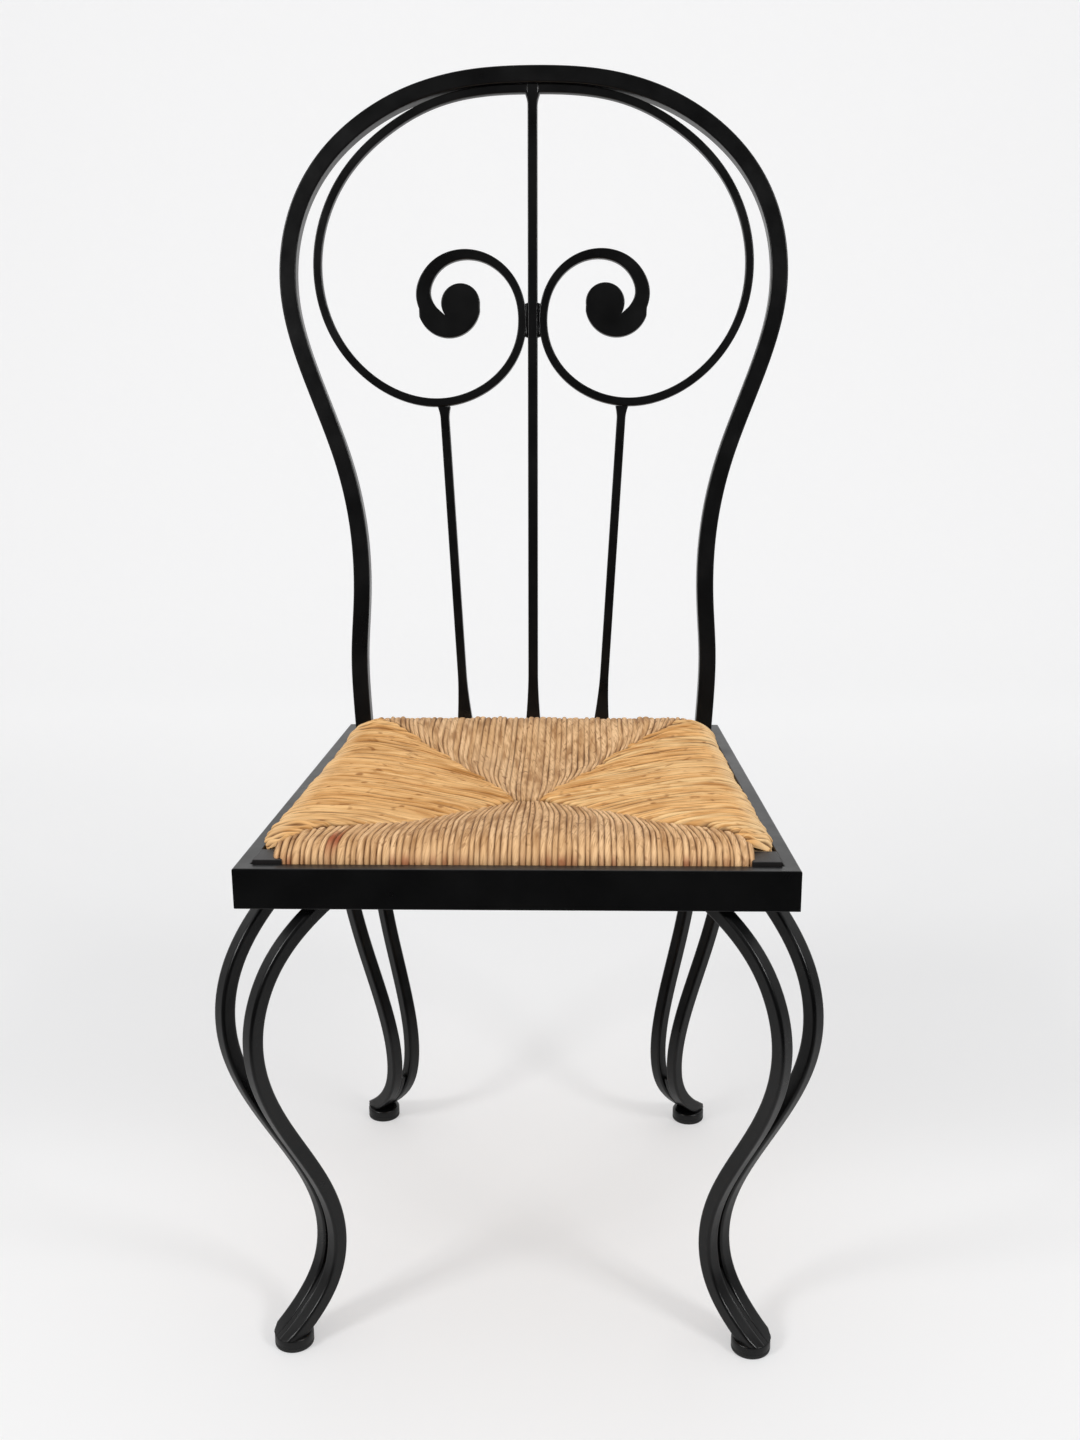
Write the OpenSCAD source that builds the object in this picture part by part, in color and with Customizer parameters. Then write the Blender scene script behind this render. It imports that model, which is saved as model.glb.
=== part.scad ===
// Wrought iron dining chair with a drop-in rush seat.
// Millimetres, +Z up, +Y towards the back, and left is -X, as seen from the front.
// The origin is on the floor, under the middle of the chair's outer box.

/* [Iron seat frame] */
// Width of the seat frame at the front, outside
frame_front_w = 448; // [420:1:480]
// Width of the seat frame at the back, outside
frame_rear_w = 390; // [370:1:410]
// Depth of the seat frame, outside
frame_depth = 436; // [410:1:460]
// Height of the frame's top edge above the floor
frame_top = 450; // [430:1:470]
// Height of the flat bar that the frame is mitred from
rail_h = 34; // [30:1:40]
// Thickness of that flat bar
rail_t = 12; // [10:0.5:14]
// Thickness of the corner plates that carry the drop-in seat
plate_t = 5; // [3:0.5:6]
// Length of a corner plate along each rail
plate_leg = 90; // [84:1:96]

/* [Legs] */
// Side of the square bar, two of which make a leg
leg_bar = 13; // [10:0.5:14]
// Width of the bevel on each edge of a leg bar
leg_edge = 2; // [1:0.25:3]
// How far a foot's centre lies inside the frame's side
foot_inset_side = 24.5; // [20:0.5:28]
// How far a foot's centre lies inside the frame's front or back
foot_inset_end = 23; // [20:0.5:28]
// How strongly the legs curve, in percent
leg_curve = 100; // [90:1:105]
// How far each bar of a front leg stands off its closed place, under the seat
front_leg_spread = 23.5; // [18:0.5:26]
// How far each bar of a rear leg stands off its closed place, under the seat
rear_leg_spread = 31; // [26:0.5:33]

/* [Feet] */
// Diameter of the round steel foot pad and of the glide
foot_d = 34; // [32:1:40]
// Thickness of the steel foot pad
pad_h = 8; // [7:0.5:12]
// Thickness of the glide below the pad
glide_h = 4; // [3:0.5:6]
// Diameter of the glide's stem
stem_d = 5; // [4:0.5:8]
// Length of the glide's stem
stem_l = 6; // [4:0.5:6]

/* [Back] */
// Angle by which the back leans away from upright
recline = 10; // [6:0.5:14]
// Length of the back from the frame's top to the middle of the hoop's bar
back_l = 664.5; // [620:0.5:700]
// Side of the hoop's square bar
hoop_bar = 17; // [12:0.5:18]
// How far the hoop's foot stands in from the end of the back rail
hoop_foot_in = 8; // [4:0.5:14]
// Side of the bar that the scrolls are made of
scroll_bar = 8.5; // [6:0.5:10]
// Width of the scroll bar where it is drawn out into the heel
heel_w = 17.5; // [15:0.5:20]
// Radius of the heel that turns round a scroll's eye
heel_r = 32.5; // [30:0.5:34]
// Radius of a scroll's round eye
eye_r = 20; // [17:0.5:21]
// Side of the middle bar
centre_bar_w = 10; // [7.5:0.5:11]
// Side of the two spindles
spindle_w = 9; // [6.5:0.5:10]
// Width of a spindle's flared foot
spindle_foot_w = 17; // [12:0.5:20]
// Distance of a spindle's foot from the middle bar's axis
spindle_foot_x = 71.4; // [60:0.1:90]

/* [Drop-in seat] */
// Gap between the seat and the iron round it
seat_gap = 1; // [0.5:0.25:2]
// Width of a wooden corner block
block_w = 22; // [20:1:26]
// Depth of a wooden corner block, front to back
block_d = 25; // [22:1:30]
// How far the corner blocks stand above the iron frame
block_proud = 3; // [1:0.5:5]
// Thickness of the wooden rails under the rush
wood_t = 13; // [11:0.5:16]
// Height of those rails
wood_h = 25; // [22:0.5:25]
// How far the wooden rails lie behind the faces of the corner blocks
wood_set_back = 8.5; // [8:0.5:10]
// Diameter of the dowels in the seat's joints
dowel_d = 6; // [5:0.5:7]
// How far a dowel reaches into each side of its joint
dowel_reach = 9; // [6:0.5:10]
// Diameter of the seat screws' shanks
screw_d = 4.5; // [3.5:0.5:5]
// Diameter of the seat screws' heads
screw_head_d = 9; // [8:0.5:11]
// How far a seat screw reaches into its block
screw_reach = 12; // [8:0.5:12]

/* [Rush] */
// Thickness of a layer of rush
rush_t = 5; // [4:0.5:6]
// Height of the crest of the rush above the iron frame
crest_h = 14; // [12:0.5:18]
// Distance of the crest from the rush's outer face
crest_in = 34; // [28:1:40]
// Depth of the dip in the middle of the seat, below the crest
dish = 8; // [4:0.5:9]
// How far the sides of the rush draw in between the corner blocks
draw_in = 2.5; // [1:0.5:2.5]
// Width of the strip of rush that bridges the two side sections
bridge_w = 20; // [10:1:40]
// Distance of the bridge from the front of the frame
bridge_y = 159; // [140:1:180]

/* [Hidden] */
// Clearance between pieces that lie against a curved or soft face
clear = 0.3;
// Clearance round a dowel, a screw or a stem in its hole, on the radius, and past its end
hole_clear = 0.1;
hole_end = 0.5;
// Curves are drawn with this many points from end to end
leg_rings = 30;
hoop_steps = 42;
scroll_steps = 84;

IRON = [0.13, 0.13, 0.14];
GLIDE = [0.05, 0.05, 0.05];
BLACK_WOOD = [0.17, 0.16, 0.16];
PLAIN_WOOD = [0.79, 0.65, 0.46];
RUSH = [0.80, 0.62, 0.38];
STUFFING = [0.62, 0.52, 0.36];

// Each corner: its name, its side (left -1, right 1), and its end (front -1, rear 1)
CORNERS = [["front_left", -1, -1], ["front_right", 1, -1], ["rear_left", -1, 1], ["rear_right", 1, 1]];
// Each side: its name and its direction along X
SIDES = [["left", -1], ["right", 1]];

function end_name(c) = c[2] < 0 ? "front" : "rear";

// Clamped cubic curve: the first and last points of the list are its ends, and the others pull it
function knot(i, n) = min(max(i - 3, 0), n - 3);
function pulled(c, u, i, r) = r == 0 ? c[i] :
    let (low = knot(i, len(c)), high = knot(i + 4 - r, len(c)), a = (u - low) / (high - low))
    (1 - a) * pulled(c, u, i - 1, r - 1) + a * pulled(c, u, i, r - 1);
function curve_at(c, t) =
    let (u = min(max(t, 0), 1) * (len(c) - 3))
    pulled(c, u, min(floor(u), len(c) - 4) + 3, 3);
function unit(v) = v / norm(v);
function direction_at(c, t) = unit(curve_at(c, t + 0.001) - curve_at(c, t - 0.001));

// Outline of a bar of half width h(t) along a curve in the plane, one edge out and the other back
function edge_point(c, t, h) = let (d = direction_at(c, t)) curve_at(c, t) + h * [-d.y, d.x];

// The seat frame in plan. Y is 0 at the front face of the front rail here.
side_slope = (frame_rear_w - frame_front_w) / 2 / frame_depth;
side_slant = sqrt(1 + side_slope * side_slope);
// X of a line parallel to the frame's side, this far inside it, at this Y
function side_x(y, inside) = frame_front_w / 2 + side_slope * y - inside * side_slant;
rail_bottom = frame_top - rail_h;
plate_top = rail_bottom + plate_t;

// The back's plane leans back, and the hoop's rear face is flush with the frame's
plane_y = frame_depth - hoop_bar / 2 / cos(recline);
module on_the_back(thick) {
    translate([0, plane_y, frame_top])
        rotate([90 - recline, 0, 0])
            linear_extrude(thick, center = true)
                children();
}
// A bar that stands on the frame runs a little low and is then cut level with the frame's top
module stand_on_frame() {
    difference() {
        children();
        translate([-frame_rear_w, 0, rail_bottom])
            cube([2 * frame_rear_w, 2 * frame_depth, rail_h]);
    }
}
foot_l = -hoop_bar / 2;

// The hoop's right half from the top to the foot: [distance from the middle, distance up the back]
hoop_foot_x = frame_rear_w / 2 - hoop_foot_in - hoop_bar / 2;
HOOP_SHAPE = [
    [0, 664.5], [43, 664.5], [95, 658], [158, 633], [215, 587], [250, 522], [256, 440],
    [229, 360], [196, 281], [180, 206], [178, 135], [184, 77], [181, 33], [178.5, 0]
];
shape_foot_x = HOOP_SHAPE[len(HOOP_SHAPE) - 1].x;
shape_l = HOOP_SHAPE[0].y;
// The back's curves keep their shape when the frame's width or the back's length changes
function on_shape(p) = [p.x * hoop_foot_x / shape_foot_x, p.y * back_l / shape_l];
hoop_path = [for (p = HOOP_SHAPE) on_shape(p)];

// A scroll's bar from under the hoop, round the inside of the hoop, to the heel round its eye
SCROLL_SHAPE = [
    [38, 651], [87, 647], [144, 619], [199, 570], [228, 494], [216, 412], [165, 352], [99, 330],
    [40, 351], [8, 396], [11, 453], [43, 486], [82, 490], [112, 469], [117, 437], [97, 419.5]
];
EYE_CENTRE = [74.5, 438];
HEEL_CENTRE = [86.5, 435.5];
scroll_top = back_l - hoop_bar / 2 - clear - scroll_bar / 2;
scroll_start = [centre_bar_w / 2 + clear, scroll_top];
// Under the hoop the bar follows it at a fixed distance, and its second point lies this much lower
scroll_drop = 4.5;
function scroll_point(i) =
    i == 0 ? [on_shape(SCROLL_SHAPE[0]).x, scroll_top] :
    i == 1 ? [on_shape(SCROLL_SHAPE[1]).x, scroll_top - scroll_drop] :
    on_shape(SCROLL_SHAPE[i]);
scroll_path = concat([scroll_start], [for (i = [0:len(SCROLL_SHAPE) - 1]) scroll_point(i)]);
eye = on_shape(EYE_CENTRE);
heel = on_shape(HEEL_CENTRE);
// The bar keeps its width until it nears the heel, and then widens ever faster
widen_from = 0.72;
widen_power = 1.8;
function scroll_half(t) =
    (scroll_bar + (heel_w - scroll_bar) * pow(max(t - widen_from, 0) / (1 - widen_from), widen_power)) / 2;

// A leg as seen from its corner, from the top down, measured from the foot's centre: how far out
// its middle line lies, how far each bar stands off its closed place, and how far down that is
FRONT_OUT = [-36, 2, 37, 39, 7, -34, -52, -30.5, 5.5];
REAR_OUT = [-27, -3, 36, 25, 4, -28, -45, -27, 8];
FRONT_APART = [front_leg_spread, 18, 16.5, 11.5, 2, 2, 1, 2, 1];
REAR_APART = [rear_leg_spread, 26, 20, 15, 12, 8, 5, 3, 0];
LEG_DOWN = [0, 1/18, 1/6, 1/3, 1/2, 2/3, 5/6, 17/18, 1];
closed_spread = (leg_bar + clear) / 2;
foot_top = glide_h + pad_h;
leg_drop = rail_bottom - foot_top;

function foot_at(c) = [
    c[1] * ((c[2] < 0 ? frame_front_w : frame_rear_w) / 2 - foot_inset_side),
    c[2] < 0 ? foot_inset_end : frame_depth - foot_inset_end
];
// The bar's path, as control points in space. towards is 1 for the bar at the front or rear rail,
// and -1 for the bar at the side rail.
function leg_path(c, towards) = [
    for (i = [0:len(LEG_DOWN) - 1])
        let (
            out = (c[2] < 0 ? FRONT_OUT : REAR_OUT)[i] * leg_curve / 100,
            apart = closed_spread + (c[2] < 0 ? FRONT_APART : REAR_APART)[i],
            p = foot_at(c) + (out * [c[1], c[2]] + apart * towards * [-c[1], c[2]]) / sqrt(2)
        )
        [p.x, p.y, rail_bottom - LEG_DOWN[i] * leg_drop]
];
// A square with its edges bevelled, as eight corners
half_bar = leg_bar / 2;
flat_half = half_bar - leg_edge * 0.6;
BAR_SECTION = [
    [half_bar, flat_half], [flat_half, half_bar], [-flat_half, half_bar], [-half_bar, flat_half],
    [-half_bar, -flat_half], [-flat_half, -half_bar], [flat_half, -half_bar], [half_bar, -flat_half]
];
// One ring of the bar. The end rings are slid along the bar until they are level.
function leg_ring(path, across, t) =
    let (
        p = curve_at(path, t),
        d = direction_at(path, t),
        u = unit(across - (across * d) * d),
        v = cross(d, u),
        level = t == 0 ? path[0].z : path[len(path) - 1].z
    )
    [
        for (s = BAR_SECTION)
            let (q = p + s.x * u + s.y * v)
            t == 0 || t == 1 ? q + d * (level - q.z) / d.z : q
    ];
function leg_rings_of(c, towards) =
    let (path = leg_path(c, towards), across = unit([-c[1], c[2], 0]))
    [for (i = [0:leg_rings]) leg_ring(path, across, i / leg_rings)];

// The chair's outer box from front to back, for the origin
knee_y = min([for (ring = leg_rings_of(CORNERS[1], 1)) for (p = ring) p.y]);
crown_y = plane_y + (back_l + hoop_bar / 2) * sin(recline) + hoop_bar / 2 * cos(recline);
box_mid_y = (knee_y + crown_y) / 2;
module in_place() {
    translate([0, -box_mid_y, 0])
        children();
}

// A solid through rings of the same count of points, each ring in order round the solid
module skin(rings, turned = false) {
    n = len(rings[0]);
    last = len(rings) - 1;
    walls = [
        for (i = [0:last - 1]) for (j = [0:n - 1])
            let (a = i * n + j, b = i * n + (j + 1) % n)
            each [[a, b, b + n], [a, b + n, a + n]]
    ];
    caps = [
        for (j = [1:n - 2])
            each [[0, j + 1, j], [last * n, last * n + j, last * n + j + 1]]
    ];
    faces = concat(walls, caps);
    polyhedron([for (ring = rings) each ring], turned ? [for (f = faces) [f[2], f[1], f[0]]] : faces);
}

// Iron seat frame: four flat bars, mitred at the corners
module end_rail(end) {
    y0 = end < 0 ? 0 : frame_depth;
    y1 = y0 - end * rail_t;
    translate([0, 0, rail_bottom])
        linear_extrude(rail_h)
            polygon([
                [-side_x(y0, 0), y0], [side_x(y0, 0), y0],
                [side_x(y1, rail_t), y1], [-side_x(y1, rail_t), y1]
            ]);
}
module front_rail() {
    color(IRON) end_rail(-1);
}
module rear_rail() {
    color(IRON) end_rail(1);
}
module side_rail(side) {
    color(IRON)
        translate([0, 0, rail_bottom])
            linear_extrude(rail_h)
                polygon([
                    [side * side_x(0, 0), 0], [side * side_x(frame_depth, 0), frame_depth],
                    [side * side_x(frame_depth - rail_t, rail_t), frame_depth - rail_t],
                    [side * side_x(rail_t, rail_t), rail_t]
                ]);
}

// The seat screw's place, in the middle of its corner block
block_front = rail_t + seat_gap;
block_rear = frame_depth - hoop_bar / cos(recline) - seat_gap;
block_inside = rail_t + seat_gap;
// The two ends of a corner block along Y, the outer one and the inner one, and its inner side along X
function block_y(c) = c[2] < 0 ? [block_front, block_front + block_d] : [block_rear, block_rear - block_d];
function block_x(c) = side_x(block_y(c)[1], block_inside) - block_w;
function screw_at(c) =
    let (y = (block_y(c)[0] + block_y(c)[1]) / 2)
    [c[1] * (side_x(y, block_inside) - block_w / 2), y];

// Corner plates: welded into the frame's corners, they carry the seat and the tops of the legs
module corner_plate(c) {
    y0 = c[2] < 0 ? rail_t : frame_depth - rail_t;
    y1 = y0 - c[2] * plate_leg;
    color(IRON)
        difference() {
            translate([0, 0, rail_bottom])
                linear_extrude(plate_t)
                    polygon([
                        [c[1] * side_x(y0, rail_t), y0],
                        [c[1] * (side_x(y0, rail_t) - plate_leg), y0],
                        [c[1] * side_x(y1, rail_t), y1]
                    ]);
            translate([screw_at(c).x, screw_at(c).y, rail_bottom - 1])
                cylinder(h = plate_t + 2, r = screw_d / 2 + hole_clear, $fn = 24);
        }
}

// Legs: two square bars each, set diagonally, side by side at the foot and apart at the seat
module leg_bar_piece(c, towards) {
    color(IRON)
        skin(leg_rings_of(c, towards), turned = c[1] * c[2] * towards > 0);
}

// Feet: a round steel pad under each pair of bars, and a plastic glide pressed into it
module foot_pad(c) {
    color(IRON)
        translate([foot_at(c).x, foot_at(c).y, glide_h])
            difference() {
                cylinder(h = pad_h, d = foot_d, $fn = 48);
                translate([0, 0, -1])
                    cylinder(h = stem_l + 1 + hole_end, r = stem_d / 2 + hole_clear, $fn = 24);
            }
}
glide_round = 1.5;
module glide(c) {
    color(GLIDE)
        translate([foot_at(c).x, foot_at(c).y, 0])
            rotate_extrude($fn = 48)
                polygon(concat(
                    [[0, 0]],
                    [for (a = [0:30:90]) [
                        foot_d / 2 - glide_round + glide_round * sin(a),
                        glide_round - glide_round * cos(a)
                    ]],
                    [[foot_d / 2, glide_h], [stem_d / 2, glide_h]],
                    [[stem_d / 2, glide_h + stem_l], [0, glide_h + stem_l]]
                ));
}

// Back: the hoop is one square bar, bent round from foot to foot
module back_hoop() {
    half = [for (i = [0:hoop_steps]) i / hoop_steps];
    low = [[hoop_foot_x + hoop_bar / 2, foot_l], [hoop_foot_x - hoop_bar / 2, foot_l]];
    outer = concat([for (t = half) edge_point(hoop_path, t, hoop_bar / 2)], [low[0]]);
    inner = concat([for (t = half) edge_point(hoop_path, t, -hoop_bar / 2)], [low[1]]);
    color(IRON)
        stand_on_frame()
            on_the_back(hoop_bar)
                polygon(concat(
                    [for (p = outer) p],
                    [for (i = [len(inner) - 1:-1:0]) inner[i]],
                    [for (i = [1:len(inner) - 1]) [-inner[i].x, inner[i].y]],
                    [for (i = [len(outer) - 1:-1:1]) [-outer[i].x, outer[i].y]]
                ));
}

// Scrolls: a thin square bar, drawn out at its end into a heel that turns round a solid eye
outer_end = 0.98;
inner_end = 0.99;
module scroll_outline() {
    steps = [for (i = [0:scroll_steps]) i / scroll_steps];
    polygon(concat(
        [for (t = steps) if (t < outer_end) edge_point(scroll_path, t, scroll_half(t))],
        [for (a = [-20:-10:-170]) heel + heel_r * [cos(a), sin(a)]],
        [for (a = [186:-9:-39]) eye + eye_r * [cos(a), sin(a)]],
        [for (i = [scroll_steps:-1:0])
            if (steps[i] < inner_end) edge_point(scroll_path, steps[i], -scroll_half(steps[i]))]
    ));
}
module scroll(side) {
    color(IRON)
        on_the_back(scroll_bar)
            scale([side, 1])
                scroll_outline();
}

// The middle bar runs straight from the hoop to the back rail
centre_top = back_l - hoop_bar / 2 - clear / 2;
centre_foot_w = centre_bar_w + 6;
// Below the scrolls the bar's weld spreads to a collar
collar_top = scroll_top - (scroll_bar + clear) / 2;
collar_l = 11;
centre_collar_w = centre_bar_w + 5;
// A bar's foot flares in a curve: its half width at a height up the back
flare_l = 55;
flare_power = 1.6;
FLARE_STEPS = [0:0.125:1];
function flared(half, foot, l) = half + (foot - half) * pow(max(1 - l / flare_l, 0), flare_power);
module centre_bar() {
    half = centre_bar_w / 2;
    foot = centre_foot_w / 2;
    collar = centre_collar_w / 2;
    side = concat(
        [[half, centre_top], [half, collar_top], [collar, collar_top], [half, collar_top - collar_l]],
        [for (s = FLARE_STEPS) [flared(half, foot, (1 - s) * flare_l), (1 - s) * flare_l]],
        [[foot, foot_l]]
    );
    color(IRON)
        stand_on_frame()
            on_the_back(centre_bar_w)
                polygon(concat(side, [for (i = [len(side) - 1:-1:0]) [-side[i].x, side[i].y]]));
}

// Spindles: straight bars from the lowest point of each scroll to the back rail
scroll_low = min([for (i = [0:scroll_steps]) edge_point(scroll_path, i / scroll_steps, scroll_half(0)).y]);
SPINDLE_TOP = [92, 0];
spindle_top = [on_shape(SPINDLE_TOP).x, scroll_low - clear / 2];
spindle_collar_w = spindle_w + 4;
spindle_collar_l = 9;
module spindle(side) {
    half = spindle_w / 2;
    collar = spindle_collar_w / 2;
    lean = (spindle_top.x - spindle_foot_x) / spindle_top.y;
    // Each point: how far beside the spindle's axis, and how high up the back
    edge = concat(
        [[collar, spindle_top.y], [half, spindle_top.y - spindle_collar_l]],
        [for (s = FLARE_STEPS) [flared(half, spindle_foot_w / 2, (1 - s) * flare_l), (1 - s) * flare_l]],
        [[spindle_foot_w / 2, foot_l]]
    );
    color(IRON)
        stand_on_frame()
            on_the_back(spindle_w)
                scale([side, 1])
                    polygon(concat(
                        [for (p = edge) [spindle_foot_x + lean * p.y + p.x, p.y]],
                        [for (i = [len(edge) - 1:-1:0])
                            [spindle_foot_x + lean * edge[i].y - edge[i].x, edge[i].y]]
                    ));
}

// Welds between the scrolls and the middle bar, where the bars pass close to each other
WELD_AT = [0, 420.5];
weld_l = 36;
weld_set_back = 1;
module back_welds() {
    from = centre_bar_w / 2;
    mid = on_shape(WELD_AT).y;
    beside = [
        for (i = [0:scroll_steps])
            let (t = i / scroll_steps, p = edge_point(scroll_path, t, scroll_half(0)))
            if (t > 0.5 && t < 0.75 && abs(p.y - mid) < weld_l / 2) [p.x - clear / 2, p.y]
    ];
    color(IRON)
        for (s = SIDES)
            on_the_back(scroll_bar - 2 * weld_set_back)
                scale([s[1], 1])
                    polygon(concat([[from, mid - weld_l / 2]], beside, [[from, mid + weld_l / 2]]));
}

// Drop-in seat: four wooden rails between corner blocks, dowelled together
wood_top = frame_top + block_proud;
wood_bottom = wood_top - wood_h;
block_h = wood_top - plate_top;
wood_inside = block_inside + wood_set_back;
// Heights of the two dowels in a block, one above the other and above the screw
dowel_rise = 7;
end_dowel_z = wood_top - dowel_rise;
side_dowel_z = wood_top - 2 * dowel_rise;
wood_mid = wood_set_back + wood_t / 2;

// Where a dowel crosses its joint: [point, direction out of the block]
function end_dowel(c) =
    [[c[1] * block_x(c), block_y(c)[0] - c[2] * wood_mid, end_dowel_z], [-c[1], 0, 0]];
function side_dowel(c) =
    let (y = block_y(c)[1])
    [[c[1] * side_x(y, block_inside + wood_mid), y, side_dowel_z], [0, -c[2], 0]];
module dowel_shape(place, wider, longer) {
    reach = dowel_reach + longer;
    start = place[0] - reach * place[1];
    translate(start)
        rotate(place[1].x != 0 ? [0, 90 * place[1].x, 0] : [-90 * place[1].y, 0, 0])
            cylinder(h = 2 * reach, r = dowel_d / 2 + wider, $fn = 24);
}
module dowel_holes(c) {
    dowel_shape(end_dowel(c), hole_clear, hole_end);
    dowel_shape(side_dowel(c), hole_clear, hole_end);
}
module corner_block(c) {
    y = block_y(c);
    color(BLACK_WOOD)
        difference() {
            translate([0, 0, plate_top])
                linear_extrude(block_h)
                    polygon([
                        [c[1] * side_x(y[0], block_inside), y[0]],
                        [c[1] * block_x(c), y[0]], [c[1] * block_x(c), y[1]],
                        [c[1] * side_x(y[1], block_inside), y[1]]
                    ]);
            dowel_holes(c);
            translate([screw_at(c).x, screw_at(c).y, plate_top - 1])
                cylinder(h = screw_reach + 1 + hole_end, r = screw_d / 2 + hole_clear, $fn = 24);
        }
}
module wood_end_rail(end) {
    y0 = (end < 0 ? block_front : block_rear) - end * wood_set_back;
    y1 = y0 - end * wood_t;
    x = block_x([0, 0, end]);
    color(PLAIN_WOOD)
        difference() {
            translate([-x, min(y0, y1), wood_bottom])
                cube([2 * x, wood_t, wood_h]);
            for (c = CORNERS)
                if (c[2] == end)
                    dowel_shape(end_dowel(c), hole_clear, hole_end);
        }
}
module wood_side_rail(side) {
    y0 = block_front + block_d;
    y1 = block_rear - block_d;
    color(PLAIN_WOOD)
        difference() {
            translate([0, 0, wood_bottom])
                linear_extrude(wood_h)
                    polygon([
                        [side * side_x(y0, wood_inside), y0], [side * side_x(y1, wood_inside), y1],
                        [side * side_x(y1, wood_inside + wood_t), y1],
                        [side * side_x(y0, wood_inside + wood_t), y0]
                    ]);
            for (c = CORNERS)
                if (c[1] == side)
                    dowel_shape(side_dowel(c), hole_clear, hole_end);
        }
}
module seat_dowels() {
    color(PLAIN_WOOD)
        for (c = CORNERS) {
            dowel_shape(end_dowel(c), 0, 0);
            dowel_shape(side_dowel(c), 0, 0);
        }
}
// Screws from below, through the corner plates into the blocks
screw_head_h = 2.5;
module seat_screws() {
    color(IRON)
        for (c = CORNERS)
            translate([screw_at(c).x, screw_at(c).y, rail_bottom - screw_head_h]) {
                cylinder(h = screw_head_h, d = screw_head_d, $fn = 32);
                cylinder(h = screw_head_h + plate_t + screw_reach, d = screw_d, $fn = 24);
            }
}

// Rush: four sections, each wrapped over a rail and meeting its neighbours along a curved seam
rush_bottom = plate_top + 1;
rush_face_in = 0.5;
rush_wrap_z = frame_top - 6;
rush_crest_z = frame_top + crest_h;
dish_run = 116;
// Height of the rush at this distance in from its outer face
function rush_z(d) =
    d < crest_in
        ? rush_wrap_z + (rush_crest_z - rush_wrap_z) * pow(1 - pow(1 - d / crest_in, 2.6), 1 / 2.6)
        : let (s = min((d - crest_in) / dish_run, 1)) rush_crest_z - dish * s * s * (3 - 2 * s);
// The section of a layer wrapped round its rail, from the seam on top to the seam below.
// bow is how far the outer face has drawn in there.
top_steps = 7;
under_in = wood_set_back + rush_t;
function rush_section(reach, bow) =
    let (
        over = wood_set_back - clear,
        under = rush_bottom + rush_t,
        shares = [for (j = [top_steps:-1:0]) pow(j / top_steps, 2.2)],
        outer = concat(
            [for (s = shares) [bow + (reach - bow) * s, rush_z((reach - bow) * s)]],
            [[bow, under], [bow + rush_t * 0.3, rush_bottom + rush_t * 0.3], [bow + rush_t, rush_bottom]],
            [[(reach + under_in) / 2, rush_bottom], [reach, rush_bottom]]
        ),
        inner = concat(
            [for (s = shares)
                let (d = over + (reach - over) * s)
                [d, max(rush_z(d - bow) - rush_t, wood_top + (clear + s) * (d < reach ? 1 : 0.5))]],
            [[over, (wood_top + wood_bottom) / 2], [over, under], [under_in, under]],
            [[(reach + under_in) / 2, under], [reach, under]]
        )
    )
    [outer, inner];
// A solid along sections that are each an outer and an inner row of points
module wrapped(sections, turned) {
    m = len(sections[0][0]);
    n = 2 * m;
    last = len(sections) - 1;
    rings = [for (s = sections) concat(s[0], [for (j = [m - 1:-1:0]) s[1][j]])];
    walls = [
        for (i = [0:last - 1]) for (j = [0:n - 1])
            let (a = i * n + j, b = i * n + (j + 1) % n)
            each [[a, b, b + n], [a, b + n, a + n]]
    ];
    caps = [
        for (j = [0:m - 2])
            let (a = j, b = j + 1, c = n - 1 - j, d = n - 2 - j, e = last * n)
            each [[a, d, b], [a, c, d], [e + a, e + b, e + d], [e + a, e + d, e + c]]
    ];
    faces = concat(walls, caps);
    polyhedron([for (ring = rings) each ring], turned ? [for (f = faces) [f[2], f[1], f[0]]] : faces);
}

// Seams, on the right: from the block's inner corner to the bridge, each pulled off its straight line
seam_steps = 9;
SEAM_PULL = [[51, -10], [-6, 12]];
function seam_start(end) = let (c = [0, 0, end]) [block_x(c), block_y(c)[1]];
function seam_at(end, t) =
    let (
        a = seam_start(end),
        b = [bridge_w / 2, bridge_y],
        pull = (a + b) / 2 + SEAM_PULL[end < 0 ? 0 : 1]
    )
    (1 - t) * (1 - t) * a + 2 * t * (1 - t) * pull + t * t * b;
SEAM_T = [for (i = [0:seam_steps]) i / seam_steps];

module rush_end(end) {
    face = end < 0 ? block_front : block_rear;
    wide = seam_start(end).x;
    half = [for (t = SEAM_T) seam_at(end, t)];
    line = concat(
        half,
        [for (i = [seam_steps:-1:0]) [-half[i].x, half[i].y]]
    );
    sections = [
        for (p = line)
            let (
                x = p.x * (1 - clear / wide),
                bow = rush_face_in + draw_in * (1 - pow(p.x / wide, 2)),
                s = rush_section(abs(p.y - face) - clear / 2, bow)
            )
            [for (row = s) [for (q = row) [x, face - end * q.x, q.y]]]
    ];
    color(RUSH) wrapped(sections, end < 0);
}
module rush_side(side) {
    front = [for (t = SEAM_T) seam_at(-1, t)];
    rear = [for (t = SEAM_T) seam_at(1, t)];
    line = concat(front, [for (i = [seam_steps - 1:-1:0]) rear[i]]);
    low = front[0].y;
    high = rear[0].y;
    sections = [
        for (p = line)
            let (
                y = min(max(p.y, low + clear), high - clear),
                face = side_x(y, block_inside),
                along = (p.y - low) / (high - low),
                bow = rush_face_in + draw_in * 4 * along * (1 - along),
                s = rush_section(face - p.x - clear / 2, bow)
            )
            [for (row = s) [for (q = row) [side * (face - q.x), y, q.y]]]
    ];
    color(RUSH) wrapped(sections, side > 0);
}
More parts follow.
